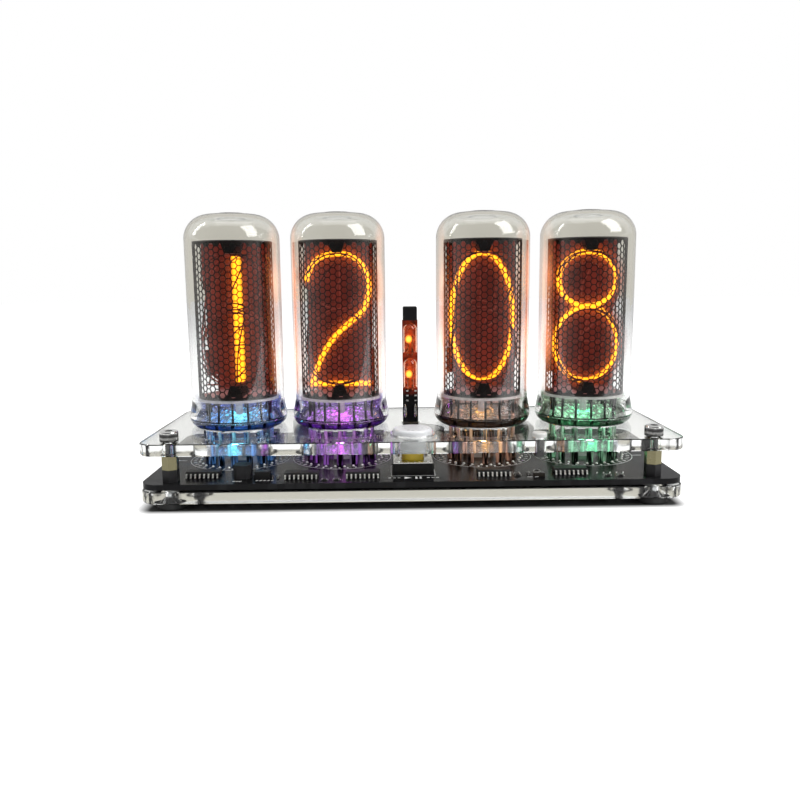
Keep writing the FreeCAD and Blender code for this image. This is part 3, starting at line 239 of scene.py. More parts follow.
def plastic(name, color, roughness, grain=6000.0, grain_strength=0.08, contrast=0.25):
    """Moulded plastic with fine grain and a slight unevenness of colour."""
    shader = Shader(name, color, roughness)
    if max(color) < 0.03:
        shader.set("Specular IOR Level", 0.2)
    dark = tuple(c * (1.0 - contrast) for c in color)
    light = tuple(min(1.0, c * (1.0 + contrast * 0.4)) for c in color)
    shader.vary_color(shader.noise(180.0, 3.0), dark, light)
    shader.vary_roughness(shader.noise(900.0), roughness * 0.8, min(1.0, roughness * 1.25))
    shader.bump(shader.noise(grain, 2.0), grain_strength, 0.00005)
    return shader.material


def metal(name, color, roughness, stretch=EVEN):
    """Metal with fine machining or handling marks along one direction."""
    shader = Shader(name, color, roughness, 1.0)
    lines = shader.noise(2500.0, 5.0, stretch)
    shader.vary_color(lines, tuple(c * 0.82 for c in color), color)
    shader.vary_roughness(shader.noise(1000.0, 4.0, stretch), roughness * 0.7, roughness * 1.4)
    shader.bump(lines, 0.05, 0.00004)
    return shader.material


def clear(name, tint, ior, scratches=0.03):
    """Clear solid with very faint polish marks."""
    shader = Shader(name, tint, 0.0)
    shader.set("Transmission Weight", 1.0)
    shader.set("IOR", ior)
    shader.bump(shader.noise(700.0, 6.0, (1.0, 1.0, 0.2)), scratches, 0.00002)
    return shader


# ---------------------------------------------------------------- mesh helpers

def add_object(name, bm, body, material, slot, *nodes, angle=35.0):
    """Object that is smooth below an angle, rides on a body, and stands for CAD nodes if some are named."""
    bmesh.ops.recalc_face_normals(bm, faces=bm.faces[:])
    mesh = bpy.data.meshes.new(name)
    bm.to_mesh(mesh)
    bm.free()
    mesh.polygons.foreach_set("use_smooth", [True] * len(mesh.polygons))
    if angle:
        mesh.set_sharp_from_angle(angle=math.radians(angle))
    made = bpy.data.objects.new(name, mesh)
    SCENE.collection.objects.link(made)
    mesh.materials.append(material)
    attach(made, body)
    if nodes:
        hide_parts(*nodes)


def circle(steps):
    """Angles of a full turn."""
    return [2 * math.pi * k / steps for k in range(steps)]


def bridge(bm, first, second):
    """Faces between two closed loops of as many points; a loop may be one point repeated."""
    for k in range(len(first)):
        n = (k + 1) % len(first)
        corners = list(dict.fromkeys([first[k], first[n], second[n], second[k]]))
        if len(corners) > 2:
            bm.faces.new(corners)


def add_solid(bm, rings):
    """Closed surface through a stack of rings, with a face over each end."""
    bm.faces.new(list(reversed(rings[0])))
    bm.faces.new(rings[-1])
    for lower, upper in zip(rings, rings[1:]):
        bridge(bm, lower, upper)


def lathe(bm, profile, centre, steps):
    """Surface of revolution of (radius, height) points about an upright axis."""
    rings = []
    for radius, height in profile:
        z = centre.z + height
        if radius < 1e-7:
            rings.append([bm.verts.new((centre.x, centre.y, z))] * steps)
        else:
            rings.append([bm.verts.new((centre.x + radius * math.cos(a), centre.y + radius * math.sin(a), z))
                          for a in circle(steps)])
    for lower, upper in zip(rings, rings[1:]):
        bridge(bm, lower, upper)


def add_box(bm, low, high, bevel):
    """Box between two corners, with bevelled edges."""
    corners = [bm.verts.new((x, y, z))
               for z in (low[2], high[2]) for y in (low[1], high[1]) for x in (low[0], high[0])]
    faces = [(0, 2, 3, 1), (4, 5, 7, 6), (0, 1, 5, 4), (2, 6, 7, 3), (0, 4, 6, 2), (1, 3, 7, 5)]
    made = [bm.faces.new([corners[i] for i in face]) for face in faces]
    edges = list({edge for face in made for edge in face.edges})
    bmesh.ops.bevel(bm, geom=edges, offset=bevel, segments=2, profile=0.5, affect="EDGES")


def add_prism(bm, outline, low, high):
    """Upright prism over a closed outline of (x, y) points, counter-clockwise from above."""
    add_solid(bm, [[bm.verts.new((x, y, z)) for x, y in outline] for z in (low, high)])


def add_ring(bm, centre, inner, outer, low, high, steps=128):
    """Flat ring with upright walls."""
    loops = [[bm.verts.new((centre.x + r * math.cos(a), centre.y + r * math.sin(a), z))
              for a in circle(steps)] for r, z in ((inner, low), (outer, low), (outer, high), (inner, high))]
    for first, second in zip(loops, loops[1:] + loops[:1]):
        bridge(bm, first, second)


def dress(material, *nodes):
    """A kept CAD node gets a material in each of its slots."""
    for name in nodes:
        for slot in NODES[name].material_slots:
            slot.material = material


# ---------------------------------------------------------------- clear plates and glass

GLASS_TINT = (0.975, 0.98, 0.975)
ACRYLIC_TINT = (0.97, 0.985, 0.97)
# Painted shade on the plates' walls that lie nearer to a tube's axis than HOLE_REACH: those of the tube
# holes.
HOLE_WALL_SHADE = (0.48, 0.50, 0.56)
HOLE_REACH = 14 * MM

# Colour of the light under each tube: middle of the foot, half-way out, and its pale outer part.
LIGHT_COLORS = {1: ((0.10, 0.72, 1.0), (0.06, 0.24, 0.66), (0.16, 0.19, 0.44)),
                2: ((0.80, 0.10, 1.0), (0.34, 0.09, 0.60), (0.22, 0.16, 0.42)),
                3: ((1.0, 0.46, 0.08), (0.46, 0.22, 0.14), (0.26, 0.16, 0.14)),
                4: ((0.12, 1.0, 0.42), (0.24, 0.60, 0.34), (0.22, 0.32, 0.22))}
# Strength of the light painted as a glow into each foot.
FOOT_STRENGTHS = {1: 0.9, 2: 0.8, 3: 0.42, 4: 0.75}
# Rim round each foot: its colour, painted shade in the colour of the light below, and its height above the
# plate in millimetres.
RIM_SHADE_TINTS = {1: (0.010, 0.02, 0.13), 2: (0.025, 0.008, 0.11), 3: (0.01, 0.008, 0.008), 4: (0.02, 0.04, 0.025)}
RIM_HEIGHTS = {1: 1.9, 2: 1.9, 3: 2.4, 4: 2.1}
# Painted shade on the rear half of the inner wall, in the colour of the light below, and the strength of the
# painted glints of light on it.
REAR_WALL_SHADE_TINTS = {1: (0.06, 0.09, 0.28), 2: (0.14, 0.07, 0.28), 3: (0.22, 0.12, 0.10), 4: (0.14, 0.20, 0.14)}
REAR_WALL_GLINT_GLOW = 1.69
# Ring on the top of each envelope.
RING_TINT = (0.25, 0.23, 0.20)
RING_RADII = (3.6 * MM, 4.4 * MM)
# Orange light on the walls that face a neighbouring tube: towards -x or +x.
NEIGHBOUR_SIDES = {1: (1,), 2: (-1, 1), 3: (-1, 1), 4: (-1,)}
NEIGHBOUR_LIGHT = (1.0, 0.34, 0.16)
# Strength of the painted glow of the coloured light in the pump tip that hangs under the middle of the foot.
TIP_GLOW = 1.4


def acrylic_material():
    """Cast sheet: clear faces, laser-cut edges with upright waves, and shade painted on the walls of the tube
    holes.
    """
    shader = clear("clear_acrylic", ACRYLIC_TINT, 1.49)
    upright = shader.part(shader.node("ShaderNodeNewGeometry").outputs["Normal"], "Z")
    edge = shader.under(shader.math("ABSOLUTE", upright), 0.5)
    hole = 0.0
    for k in TUBES:
        hole = shader.math("MAXIMUM", hole, shader.under(shader.reach(TUBE_AXES[k]), HOLE_REACH))
    shader.set("Roughness", shader.spread(edge, 0.0, 0.10))
    # Painted shade: the walls of the tube holes are tinted darker.
    shader.set("Base Color", shader.mix(shader.times(edge, hole), ACRYLIC_TINT, HOLE_WALL_SHADE))
    shader.bump(shader.times(shader.noise(260.0, 3.0, (1.0, 1.0, 0.06)), edge), 0.35, 0.00025)
    return shader.material


def up(rise):
    """Height over the table of a point so many millimetres above the top plate."""
    return PLATE_TOP + rise * MM


def foot_painted_sparkles(shader):
    """Painted sparkles and clouds of light in the pressed glass."""
    sparkle = shader.spread(shader.cells(950.0, (1.0, 0.3, 1.0)), 3.0, 0.0, 0.10, 0.46)
    return shader.times(sparkle, shader.spread(shader.noise(420.0, 3.0), 0.05, 1.4, 0.38, 0.64))


def neighbour_strips(shader, number, height):
    """Upright strips of light at the sides of a tube that has neighbours there."""
    strips = 0.0
    for side in NEIGHBOUR_SIDES[number]:
        offset = shader.times(shader.math("SUBTRACT", shader.axis("X"), TUBE_AXES[number].x), float(side))
        strips = shader.plus(strips, shader.band(offset, 12.1 * MM, 13.5 * MM, 0.4 * MM))
    strips = shader.times(strips, shader.band(height, up(13), up(55), 8 * MM))
    return shader.times(strips, shader.spread(shader.noise(60.0, 3.0), 0.08, 0.36, 0.35, 0.65))


def glass_tint(shader, number, height, radius, rear_wall_shade):
    """Clear wall with a darker ring on the top, a rim painted with dark shade in the colour of the light
    below and two darker painted lines, and the painted shade of the rear wall.
    """
    rim_top = up(RIM_HEIGHTS[number])
    rim = shader.times(shader.spread(height, 1.0, 0.0, rim_top - 0.2 * MM, rim_top + 0.1 * MM),
                       shader.spread(radius, 0.0, 1.0, 11.5 * MM, 12.6 * MM))
    # Two lines of painted shade: at the foot of the rim and at its top.
    lines = shader.math("MAXIMUM", shader.under(height, up(0.8)), shader.over(height, rim_top - 0.25 * MM))
    dark = tuple(0.15 * c for c in RIM_SHADE_TINTS[number])
    ring = shader.times(shader.over(height, GLASS_TOP - 1 * MM), shader.band(radius, *RING_RADII, 0.15 * MM))
    wall = shader.mix(shader.times(ring, 0.75), GLASS_TINT, RING_TINT)
    wall = shader.mix(rim, wall, shader.mix(lines, RIM_SHADE_TINTS[number], dark))
    return shader.mix(rear_wall_shade, wall, REAR_WALL_SHADE_TINTS[number])


def tube_glass(number):
    """Glass of one tube: clear walls, and a foot with the colour of the light below it painted in as a glow.
    """
    shader = clear("tube_glass_%d" % number, GLASS_TINT, 1.5)
    axis = TUBE_AXES[number]
    radius = shader.reach(axis)
    height = shader.axis("Z")
    pressed = shader.times(shader.band(height, up(0.3), up(2.2), 0.1 * MM), shader.under(radius, 13.3 * MM))
    shader.bump(shader.times(shader.noise(750.0, 3.0), shader.spread(pressed, 0.01, 1.0)), 0.7, 0.0007)
    # Painted shade on the rear half of the inner wall.
    behind = shader.spread(shader.axis("Y"), 0.0, 1.0, axis.y + 1 * MM, axis.y + 5 * MM)
    rear_wall_shade = shader.times(shader.band(height, up(1.9), up(8.3), 0.5 * MM), behind)
    rear_wall_shade = shader.times(rear_wall_shade, shader.spread(shader.noise(300.0, 3.0), 0.9, 1.0, 0.3, 0.55))
    shader.set("Base Color", glass_tint(shader, number, height, radius, rear_wall_shade))

    inner, half_way, outer = LIGHT_COLORS[number]
    outwards = shader.spread(radius, 0.0, 1.0, 0.0, 14 * MM)
    color = shader.ramp(outwards, (0.12, inner), (0.50, half_way), (0.95, outer))
    shader.set("Emission Color", shader.mix(shader.over(height, up(10)), color, NEIGHBOUR_LIGHT))

    painted_sparkles = foot_painted_sparkles(shader)
    # Painted glow of the light below on the floor of the foot, with painted sparkles.
    floor = shader.times(shader.band(height, up(0.1), up(2.4), 0.15 * MM), shader.under(radius, 12.4 * MM))
    floor = shader.times(floor, shader.spread(radius, 1.0, 0.15, 6 * MM, 12 * MM))
    # Painted glints of light on the painted shade of the rear wall.
    painted_glints = shader.spread(shader.noise(1100.0, 3.0, (1.0, 1.0, 0.5)), 0.0, REAR_WALL_GLINT_GLOW, 0.47, 0.62)
    painted_glints = shader.times(rear_wall_shade, shader.times(painted_sparkles, painted_glints))
    # Painted glow of the light below in the pump tip.
    tips = shader.times(shader.band(height, up(-4), up(0.35), 0.1 * MM),
                        shader.spread(radius, TIP_GLOW, 0.0, 2.0 * MM, 2.6 * MM))
    foot = shader.plus(shader.plus(shader.times(floor, painted_sparkles), painted_glints), tips)
    foot = shader.times(foot, FOOT_STRENGTHS[number])
    shader.set("Emission Strength", shader.plus(foot, neighbour_strips(shader, number, height)))
    return shader.material


def pipe_material():
    """Light pipe: painted dark shade inside the plate, pale where it stands out."""
    pale = (0.66, 0.66, 0.64)
    shader = Shader("pipe_acrylic", pale, 0.3)
    cloud = shader.noise(900.0)
    # Painted shade: the part inside the plate is dark.
    inside = shader.shades(cloud, grey(0.024), grey(0.03))
    outside = shader.shades(cloud, tuple(0.8 * c for c in pale), pale)
    shader.set("Base Color", shader.mix(shader.over(shader.axis("Z"), up(-0.3)), inside, outside))
    shader.bump(shader.noise(4000.0, 3.0), 0.08, 0.00005)
    return shader.material


def dress_clear_parts():
    dress(acrylic_material(), "top_plate", "base_plate")
    for k in TUBES:
        dress(tube_glass(k), "glass_%d" % k)
    dress(pipe_material(), "light_pipe")


# ---------------------------------------------------------------- metals, plastics and rubber on kept nodes

def rubber_material():
    shader = Shader("rubber_feet", grey(0.012), 0.7)
    shader.vary_color(shader.noise(500.0), grey(0.008), grey(0.02))
    shader.vary_roughness(shader.noise(1200.0), 0.6, 0.85)
    shader.bump(shader.noise(5000.0, 2.0), 0.2, 0.00008)
    return shader.material


# Colour of the glow's light painted on the cage walls and the unlit digits.
CAGE_GLOW = (1.0, 0.11, 0.06)


def pools_of_light(shader, near, far, strength):
    """Coloured light that falls off with the distance from each tube's axis."""
    glow = None
    for k in TUBES:
        pool = shader.spread(shader.reach(TUBE_AXES[k]), 1.0, 0.0, near, far)
        tone = shader.mix(shader.times(pool, pool), grey(0.0), LIGHT_COLORS[k][1])
        glow = shader.vector("ADD", glow, tone) if glow else tone
    shader.glow(glow, strength)


def socket_material():
    """Turned barrels: dark sides with streaks of the coloured light, and bright mouths."""
    shader = Shader("socket_metal", grey(0.1), 0.35, 1.0)
    mouth = shader.over(shader.axis("Z"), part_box("pin_sockets")[1].z - 0.35 * MM)
    streak = shader.noise(1500.0, 3.0, (1.0, 1.0, 0.1))
    side = shader.ramp(streak, (0.46, grey(0.012)), (0.64, (0.22, 0.21, 0.20)))
    shader.set("Base Color", shader.mix(mouth, side, (0.62, 0.60, 0.52)))
    shader.vary_roughness(streak, 0.2, 0.45)
    shader.bump(streak, 0.1, 0.00004)
    pools_of_light(shader, 8 * MM, 18 * MM, shader.spread(streak, 0.0, 1.0, 0.50, 0.66))
    return shader.material


def pin_material(number):
    """Nickel pins with streaks of coloured light below the glass, and leads above it painted dark as shade.
    """
    shader = Shader("pins_%d" % number, (0.35, 0.34, 0.33), 0.3, 1.0)
    height = shader.axis("Z")
    low = shader.spread(height, 1.0, 0.0, PLATE_TOP + 0.8 * MM, PLATE_TOP + 1.6 * MM)
    streak = shader.noise(1300.0, 4.0, (1.0, 1.0, 0.08))
    bright = shader.ramp(streak, (0.35, grey(0.22)), (0.65, (0.62, 0.62, 0.6)))
    # Painted shade: the leads above the glass are near black and not metal.
    shader.set("Base Color", shader.mix(low, (0.012, 0.010, 0.010), bright))
    shader.set("Metallic", low)
    inner, half_way, outer = LIGHT_COLORS[number]
    reach = shader.reach(TUBE_AXES[number], (1.0, 0.0, 0.0))
    color = shader.ramp(shader.spread(reach, 0.0, 1.0, 0.0, 11 * MM), (0.2, inner), (0.6, half_way))
    shader.set("Emission Color", color)
    lit = shader.times(low, shader.spread(height, 0.12, 0.8, BOARD_TOP + 4 * MM, BOARD_TOP + 8 * MM))
    shader.set("Emission Strength", shader.times(lit, shader.spread(streak, 0.0, 2.0, 0.42, 0.62)))
    shader.vary_roughness(shader.noise(2000.0), 0.2, 0.4)
    shader.bump(streak, 0.1, 0.00005)
    return shader.material


def shield_material(number):
    """Dark cage wall; inside, the light of the glow is painted in as a reddish colour and a faint glow,
    stronger and pinker near its floor.
    """
    shader = Shader("cage_wall_%d" % number, (0.1, 0.08, 0.07), 0.5)
    shader.set("Specular IOR Level", 0.15)
    radius = shader.reach(TUBE_AXES[number])
    height = shader.axis("Z")
    floor_z, roof_z = (corner.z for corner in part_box("anode_shield_%d" % number))
    inside = shader.times(shader.under(radius, 11.9 * MM),
                         shader.band(height, floor_z + 0.2 * MM, roof_z - 0.2 * MM, 0.1 * MM))
    cloud = shader.noise(140.0, 4.0, (1.0, 1.0, 0.6))
    # Painted light of the glow: reddish inside, plain dark outside.
    wall = shader.shades(cloud, (0.030, 0.008, 0.007), (0.060, 0.015, 0.012))
    outside = shader.shades(cloud, (0.07, 0.065, 0.06), (0.12, 0.11, 0.10))
    shader.set("Base Color", shader.mix(inside, outside, wall))
    low = shader.spread(height, 1.0, 0.0, floor_z + 0.3 * MM, floor_z + 1.5 * MM)
    shader.set("Emission Color", shader.mix(low, CAGE_GLOW, (1.0, 0.40, 0.38)))
    glow = shader.times(shader.spread(low, 0.10, 0.20), shader.spread(cloud, 0.6, 1.5, 0.3, 0.7))
    shader.set("Emission Strength", shader.times(inside, glow))
    shader.vary_roughness(shader.noise(900.0), 0.4, 0.65)
    shader.bump(shader.noise(1800.0, 3.0, (1.0, 1.0, 0.2)), 0.08, 0.00005)
    return shader.material


def screen_material():
    """Blackened sheet of the honeycomb screen."""
    shader = Shader("cage_screen", (0.008, 0.0045, 0.004), 0.5)
    shader.set("Specular IOR Level", 0.12)
    shader.vary_color(shader.noise(700.0), (0.006, 0.003, 0.003), (0.014, 0.006, 0.005))
    shader.vary_roughness(shader.noise(1500.0), 0.4, 0.6)
    shader.bump(shader.noise(5000.0), 0.06, 0.00003)
    return shader.material


def cathode_material():
    """Unlit digits: dull metal with the light of the glow that falls on them painted into their colour and as
    a faint glow.
    """
    shader = Shader("cathode_metal", (0.10, 0.045, 0.035), 0.5, 0.4)
    shader.set("Specular IOR Level", 0.15)
    cloud = shader.noise(260.0, 3.0)
    shader.set("Base Color", shader.ramp(cloud, (0.35, (0.035, 0.013, 0.010)), (0.68, (0.13, 0.055, 0.042))))
    shader.glow(CAGE_GLOW, shader.spread(cloud, 0.03, 0.17, 0.35, 0.65))
    shader.vary_roughness(shader.noise(2500.0), 0.4, 0.6)
    shader.bump(shader.noise(6000.0), 0.06, 0.00002)
    return shader.material


def insulator_material(number):
    """Pale ceramic disc and post with light painted on as a glow, partly in the colour of the light below,
    and black wedges.
    """
    shader = Shader("insulator_%d" % number, (0.6, 0.55, 0.56), 0.45)
    shader.set("Specular IOR Level", 0.2)
    pale = shader.under(shader.axis("Z"), DISC_TOP)
    cloud = shader.noise(700.0, 3.0)
    white = shader.shades(cloud, (0.42, 0.36, 0.38), (0.62, 0.55, 0.57))
    black = shader.shades(cloud, grey(0.003), (0.007, 0.006, 0.006))
    shader.set("Base Color", shader.mix(pale, black, white))
    # Painted light on the pale disc and post.
    shader.glow(tuple(0.5 + 0.3 * c for c in LIGHT_COLORS[number][1]), shader.times(pale, 0.30))
    shader.vary_roughness(shader.noise(2000.0), 0.35, 0.55)
    shader.bump(shader.noise(5000.0), 0.08, 0.00003)
    return shader.material


def dress_kept_parts():
    dress(rubber_material(), "rubber_feet")
    zinc = metal("zinc_plate", (0.55, 0.56, 0.58), 0.3)
    brass = metal("brass", (0.235, 0.215, 0.125), 0.28, (1.0, 1.0, 12.0))
    dress(zinc, "base_screws")
    dress(plastic("washer_nylon", (0.75, 0.75, 0.72), 0.5), "board_washers")
    dress(plastic("black_nylon", (0.012, 0.012, 0.013), 0.42), "spacer_nuts")
    dress(brass, "standoffs")
    dress(socket_material(), "pin_sockets")
    for k in TUBES:
        dress(pin_material(k), "pins_%d" % k)
        dress(shield_material(k), "anode_shield_%d" % k)
        dress(insulator_material(k), "insulators_%d" % k)
    dress(screen_material(), *["anode_screen_%d" % k for k in TUBES])
    dress(cathode_material(), *["cathodes_%d" % k for k in TUBES])
    dress(plastic("cap_plastic", (0.68, 0.69, 0.71), 0.28, grain_strength=0.03, contrast=0.05), "button_cap")
    dress(plastic("stem_plastic", (0.62, 0.45, 0.02), 0.4), "switch_stem")
    dress(plastic("switch_plastic", grey(0.01), 0.45), "switch_base", "colon_header")
    dress(metal("switch_cover_metal", (0.7, 0.7, 0.68), 0.25), "switch_cover")
    dress(plastic("cap_black", (0.01, 0.01, 0.011), 0.35), "colon_cap")
    dress(plastic("sensor_plastic", (0.03, 0.025, 0.02), 0.2), "light_sensor")
    dress(plastic("ferrite", (0.025, 0.025, 0.027), 0.55, 3000.0, 0.3), "boost_inductor")
    dress(plastic("diode_plastic", grey(0.012), 0.4), "rectifier_diode", "boost_transistor")
    dress(metal("can_aluminium", (0.75, 0.76, 0.77), 0.3), "supply_capacitor")
    dress(plastic("tray_plastic", (0.015, 0.015, 0.016), 0.5), "cell_holder")
    dress(metal("cell_steel", grey(0.72), 0.22), "backup_cell", "power_inlet")
    dress(plastic("light_body", (0.8, 0.8, 0.78), 0.4), "tube_lights")


# ---------------------------------------------------------------- circuit boards

def mask_material(name, traces):
    """Black solder mask with faint copper runs under it."""
    shader = Shader(name, (0.01, 0.01, 0.011), 0.3)
    shader.set("Specular IOR Level", 0.06)
    runs = shader.spread(shader.cells(traces, (1.0, 1.0, 0.0), "CHEBYCHEV"), 1.0, 0.0, 0.30, 0.36)
    shader.set("Base Color", shader.ramp(runs, (0.0, (0.0085, 0.0085, 0.009)), (1.0, (0.013, 0.013, 0.014))))
    shader.vary_roughness(shader.noise(400.0, 4.0), 0.16, 0.28)
    shader.bump(runs, 0.25, 0.00003)
    return shader


BUTTON = middle("button_cap")
PRINT_TOP = BOARD_TOP + 0.03 * MM
PRINT_RING = (15.42 * MM, 15.58 * MM)
TICK_RADIUS = 14.2 * MM
TICKS = 36
# Square round the button: half of its side.
BUTTON_FRAME = 6.35 * MM


def print_bar(bm, x, y, length, width, angle=0.0):
    """Printed bar centred on x, y, its length along an angle in degrees."""
    along = Vector((math.cos(math.radians(angle)), math.sin(math.radians(angle)))) * length / 2
    across = Vector((-along.y, along.x)).normalized() * width / 2
    spot = Vector((x, y))
    outline = [spot - along - across, spot + along - across, spot + along + across, spot - along + across]
    add_prism(bm, outline, BOARD_TOP, PRINT_TOP)


# Short strokes elsewhere on the board: x, y, length and angle, in millimetres and degrees.
PRINT_MARKS = [(-72.0, 0.0, 3.0, 0), (72.0, 0.0, 3.0, 0), (28.5, -19.6, 2.2, 20), (33.4, -25.3, 1.6, 0),
               (35.4, -25.3, 1.0, 0)]
PRINT_MARKS += [(-44.2 + 1.1 * k, -25.6, 1.0, 65) for k in range(5)]
PRINT_MARKS += [(-50.6 + 0.9 * k, -26.2, 0.8, 30) for k in range(3)]
PRINT_MARKS += [(53.6 + 1.9 * k, -21.6, 1.7, 70) for k in range(5)]


def build_prints():
    """White printing on the board: rings, ticks, outlines and a play and pause sign."""
    bm = bmesh.new()
    for k in TUBES:
        axis = TUBE_AXES[k]
        add_ring(bm, axis, *PRINT_RING, BOARD_TOP, PRINT_TOP)
        for turn in circle(TICKS):
            print_bar(bm, axis.x + TICK_RADIUS * math.cos(turn), axis.y + TICK_RADIUS * math.sin(turn),
                      1.1 * MM, 0.5 * MM, math.degrees(turn))
    for side in (-1, 1):
        print_bar(bm, BUTTON.x, BUTTON.y + side * BUTTON_FRAME, 2 * BUTTON_FRAME, 0.15 * MM)
        print_bar(bm, BUTTON.x + side * BUTTON_FRAME, BUTTON.y, 2 * BUTTON_FRAME, 0.15 * MM, 90)
    sign_y = BUTTON.y - 8.6 * MM
    triangle = [(-2.6, -1.1), (-0.6, 0.0), (-2.6, 1.1)]
    add_prism(bm, [(BUTTON.x + x * MM, sign_y + y * MM) for x, y in triangle], BOARD_TOP, PRINT_TOP)
    for x in (0.8, 2.0):
        print_bar(bm, BUTTON.x + x * MM, sign_y, 2.2 * MM, 0.6 * MM, 90)
    for side in (-1, 1):
        for step in range(3):
            print_bar(bm, BUTTON.x + side * (4.2 + 1.3 * step) * MM, sign_y, 0.8 * MM, 0.35 * MM)
    for x, y, length, angle in PRINT_MARKS:
        print_bar(bm, x * MM, y * MM, length * MM, 0.3 * MM, angle)
    shader = Shader("board_print", grey(0.9), 0.55)
    shader.set("Base Color", shader.ramp(shader.noise(1500.0), (0.3, (0.70, 0.71, 0.71)), (0.65, grey(0.93))))
    shader.bump(shader.noise(6000.0), 0.15, 0.00001)
    add_object("board_print", bm, "base", shader.material, "black_board")


JOINTS = 28
JOINT_CIRCLE = 12.4 * MM
JOINT_STAGGER = 0.35 * MM


def build_joints():
    """Bright solder joints of the tube wiring, in a ring round each ring of sockets."""
    bm = bmesh.new()
    for axis in TUBE_AXES.values():
        for step, turn in enumerate(circle(2 * JOINTS)[1::2]):
            reach = JOINT_CIRCLE + JOINT_STAGGER * (step % 2)
            spot = (axis.x + reach * math.cos(turn), axis.y + reach * math.sin(turn), BOARD_TOP)
            dome = bmesh.ops.create_uvsphere(bm, u_segments=16, v_segments=8, radius=0.42 * MM,
                                             matrix=Matrix.Translation(spot))
            for vert in dome["verts"]:
                vert.co.z = max(vert.co.z, BOARD_TOP)
    shader = Shader("joint_solder", (0.85, 0.85, 0.83), 0.3, 0.7)
    shader.vary_color(shader.noise(2500.0), (0.68, 0.68, 0.66), (0.92, 0.92, 0.90))
    shader.bump(shader.noise(3000.0), 0.15, 0.00004)
    add_object("socket_joints", bm, "base", shader.material, "tinned_metal")


def build_board():
    board = mask_material("board_mask", 260.0)
    pools_of_light(board, 5 * MM, 22 * MM, board.spread(board.noise(150.0, 3.0), 0.0, 0.15, 0.42, 0.65))
    dress(board.material, "main_board")
    upright = mask_material("colon_mask", 600.0)
    lamps_low, lamps_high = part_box("colon_lamps")
    # Painted light of the colon lamps on the upright board.
    lit = upright.band(upright.axis("Z"), lamps_low.z - 1 * MM, lamps_high.z + 1.5 * MM, 2 * MM)
    cloud = upright.spread(upright.noise(500.0), 0.05, 0.3, 0.35, 0.65)
    upright.glow((1.0, 0.10, 0.03), upright.times(lit, cloud))
    dress(upright.material, "colon_board")
    build_prints()
    build_joints()


# ---------------------------------------------------------------- chips with separate bodies and legs

CHIP_LIFT = 0.15 * MM
CHIP_DRAFT = 0.18 * MM
CHIP_ROUND = 0.06 * MM
# Section of a bent leg: distance from the body and height over the board, in millimetres.
LEG_PROFILE = [(0.0, 0.9), (0.0, 1.12), (0.42, 1.12), (0.62, 1.0), (0.68, 0.35), (0.78, 0.22), (1.05, 0.22),
               (1.05, 0.0), (0.62, 0.0), (0.48, 0.12), (0.4, 0.9)]

# Flat chips with two rows of legs: x and y of the middle in millimetres, and legs in a row.
FLAT_CHIPS = {"driver_chips": ((-60.6, -19.5, 8), (-31.9, -22.0, 8), (-14.3, -21.9, 8), (23.6, -21.4, 8),
                               (45.9, -20.5, 8)),
              "clock_chip": ((22.0, 22.0, 4),)}
FLAT_PITCH = 1.27 * MM
FLAT_WIDTH = 3.9 * MM
FLAT_HEIGHT = 1.5 * MM
FLAT_LEG = 0.42 * MM

# Square controller with eight legs on each side.
CONTROLLER = (-12.0 * MM, 22.0 * MM)
CONTROLLER_SIDE = 7.0 * MM
CONTROLLER_HEIGHT = 1.2 * MM
CONTROLLER_PITCH = 0.8 * MM
CONTROLLER_LEG = 0.36 * MM

# Small chip resistors: x and y in millimetres, and the turn in degrees.
SMALL_PARTS = ((-43.2, -22.4, 0), (-40.4, -22.4, 90), (-38.6, -22.4, 90), (-25.0, -26.0, 0),
               (-21.6, -26.0, 0), (-2.5, 18.0, 0), (1.2, 18.0, 0), (-22.0, 20.0, 90), (-22.0, 24.0, 90),
               (30.2, -21.8, 0), (30.2, -23.6, 0), (33.6, -22.2, 90), (36.0, -22.2, 90), (36.6, -19.2, 0),
               (55.8, -25.0, 0), (59.4, -25.0, 0), (16.0, 24.0, 90), (29.0, 24.5, 90), (50.0, 24.0, 0),
               (54.0, 24.0, 0), (-56.0, 24.0, 0), (-52.0, 24.0, 0))


def add_leg(bm, x, y, way, width):
    """One bent leg that starts at the side of a body and reaches out towards -y or +y."""
    add_solid(bm, [[bm.verts.new((x + side * width / 2, y + way * out * MM, BOARD_TOP + rise * MM))
                    for out, rise in LEG_PROFILE] for side in (1, -1)])


def add_body(bm, x, y, length, width, height):
    """Moulded body with sloping sides."""
    rings = []
    for inset, rise in ((CHIP_DRAFT, 0.0), (0.0, height / 2), (CHIP_DRAFT, height)):
        half_x, half_y, z = length / 2 - inset, width / 2 - inset, BOARD_TOP + CHIP_LIFT + rise
        rings.append([bm.verts.new((x + sx * half_x, y + sy * half_y, z))
                      for sx, sy in ((-1, -1), (1, -1), (1, 1), (-1, 1))])
    add_solid(bm, rings)


def add_chips(node, ending, bodies, legs, looks):
    """Bodies and legs of the chips in one CAD node."""
    bmesh.ops.bevel(bodies, geom=bodies.edges[:], offset=CHIP_ROUND, segments=2, affect="EDGES")
    add_object(node + ending, bodies, "base", looks[0], "chip_plastic", node)
    add_object(node + "_legs", legs, "base", looks[1], "tinned_metal", node, angle=20.0)


def build_flat_chips(looks):
    for node, places in FLAT_CHIPS.items():
        bodies, legs = bmesh.new(), bmesh.new()
        for x, y, count in places:
            x, y = x * MM, y * MM
            add_body(bodies, x, y, (count - 1) * FLAT_PITCH + 1.0 * MM, FLAT_WIDTH, FLAT_HEIGHT)
            for k in range(count):
                leg_x = x + (k - (count - 1) / 2) * FLAT_PITCH
                for way in (-1, 1):
                    add_leg(legs, leg_x, y + way * FLAT_WIDTH / 2, way, FLAT_LEG)
        add_chips(node, "_bodies", bodies, legs, looks)


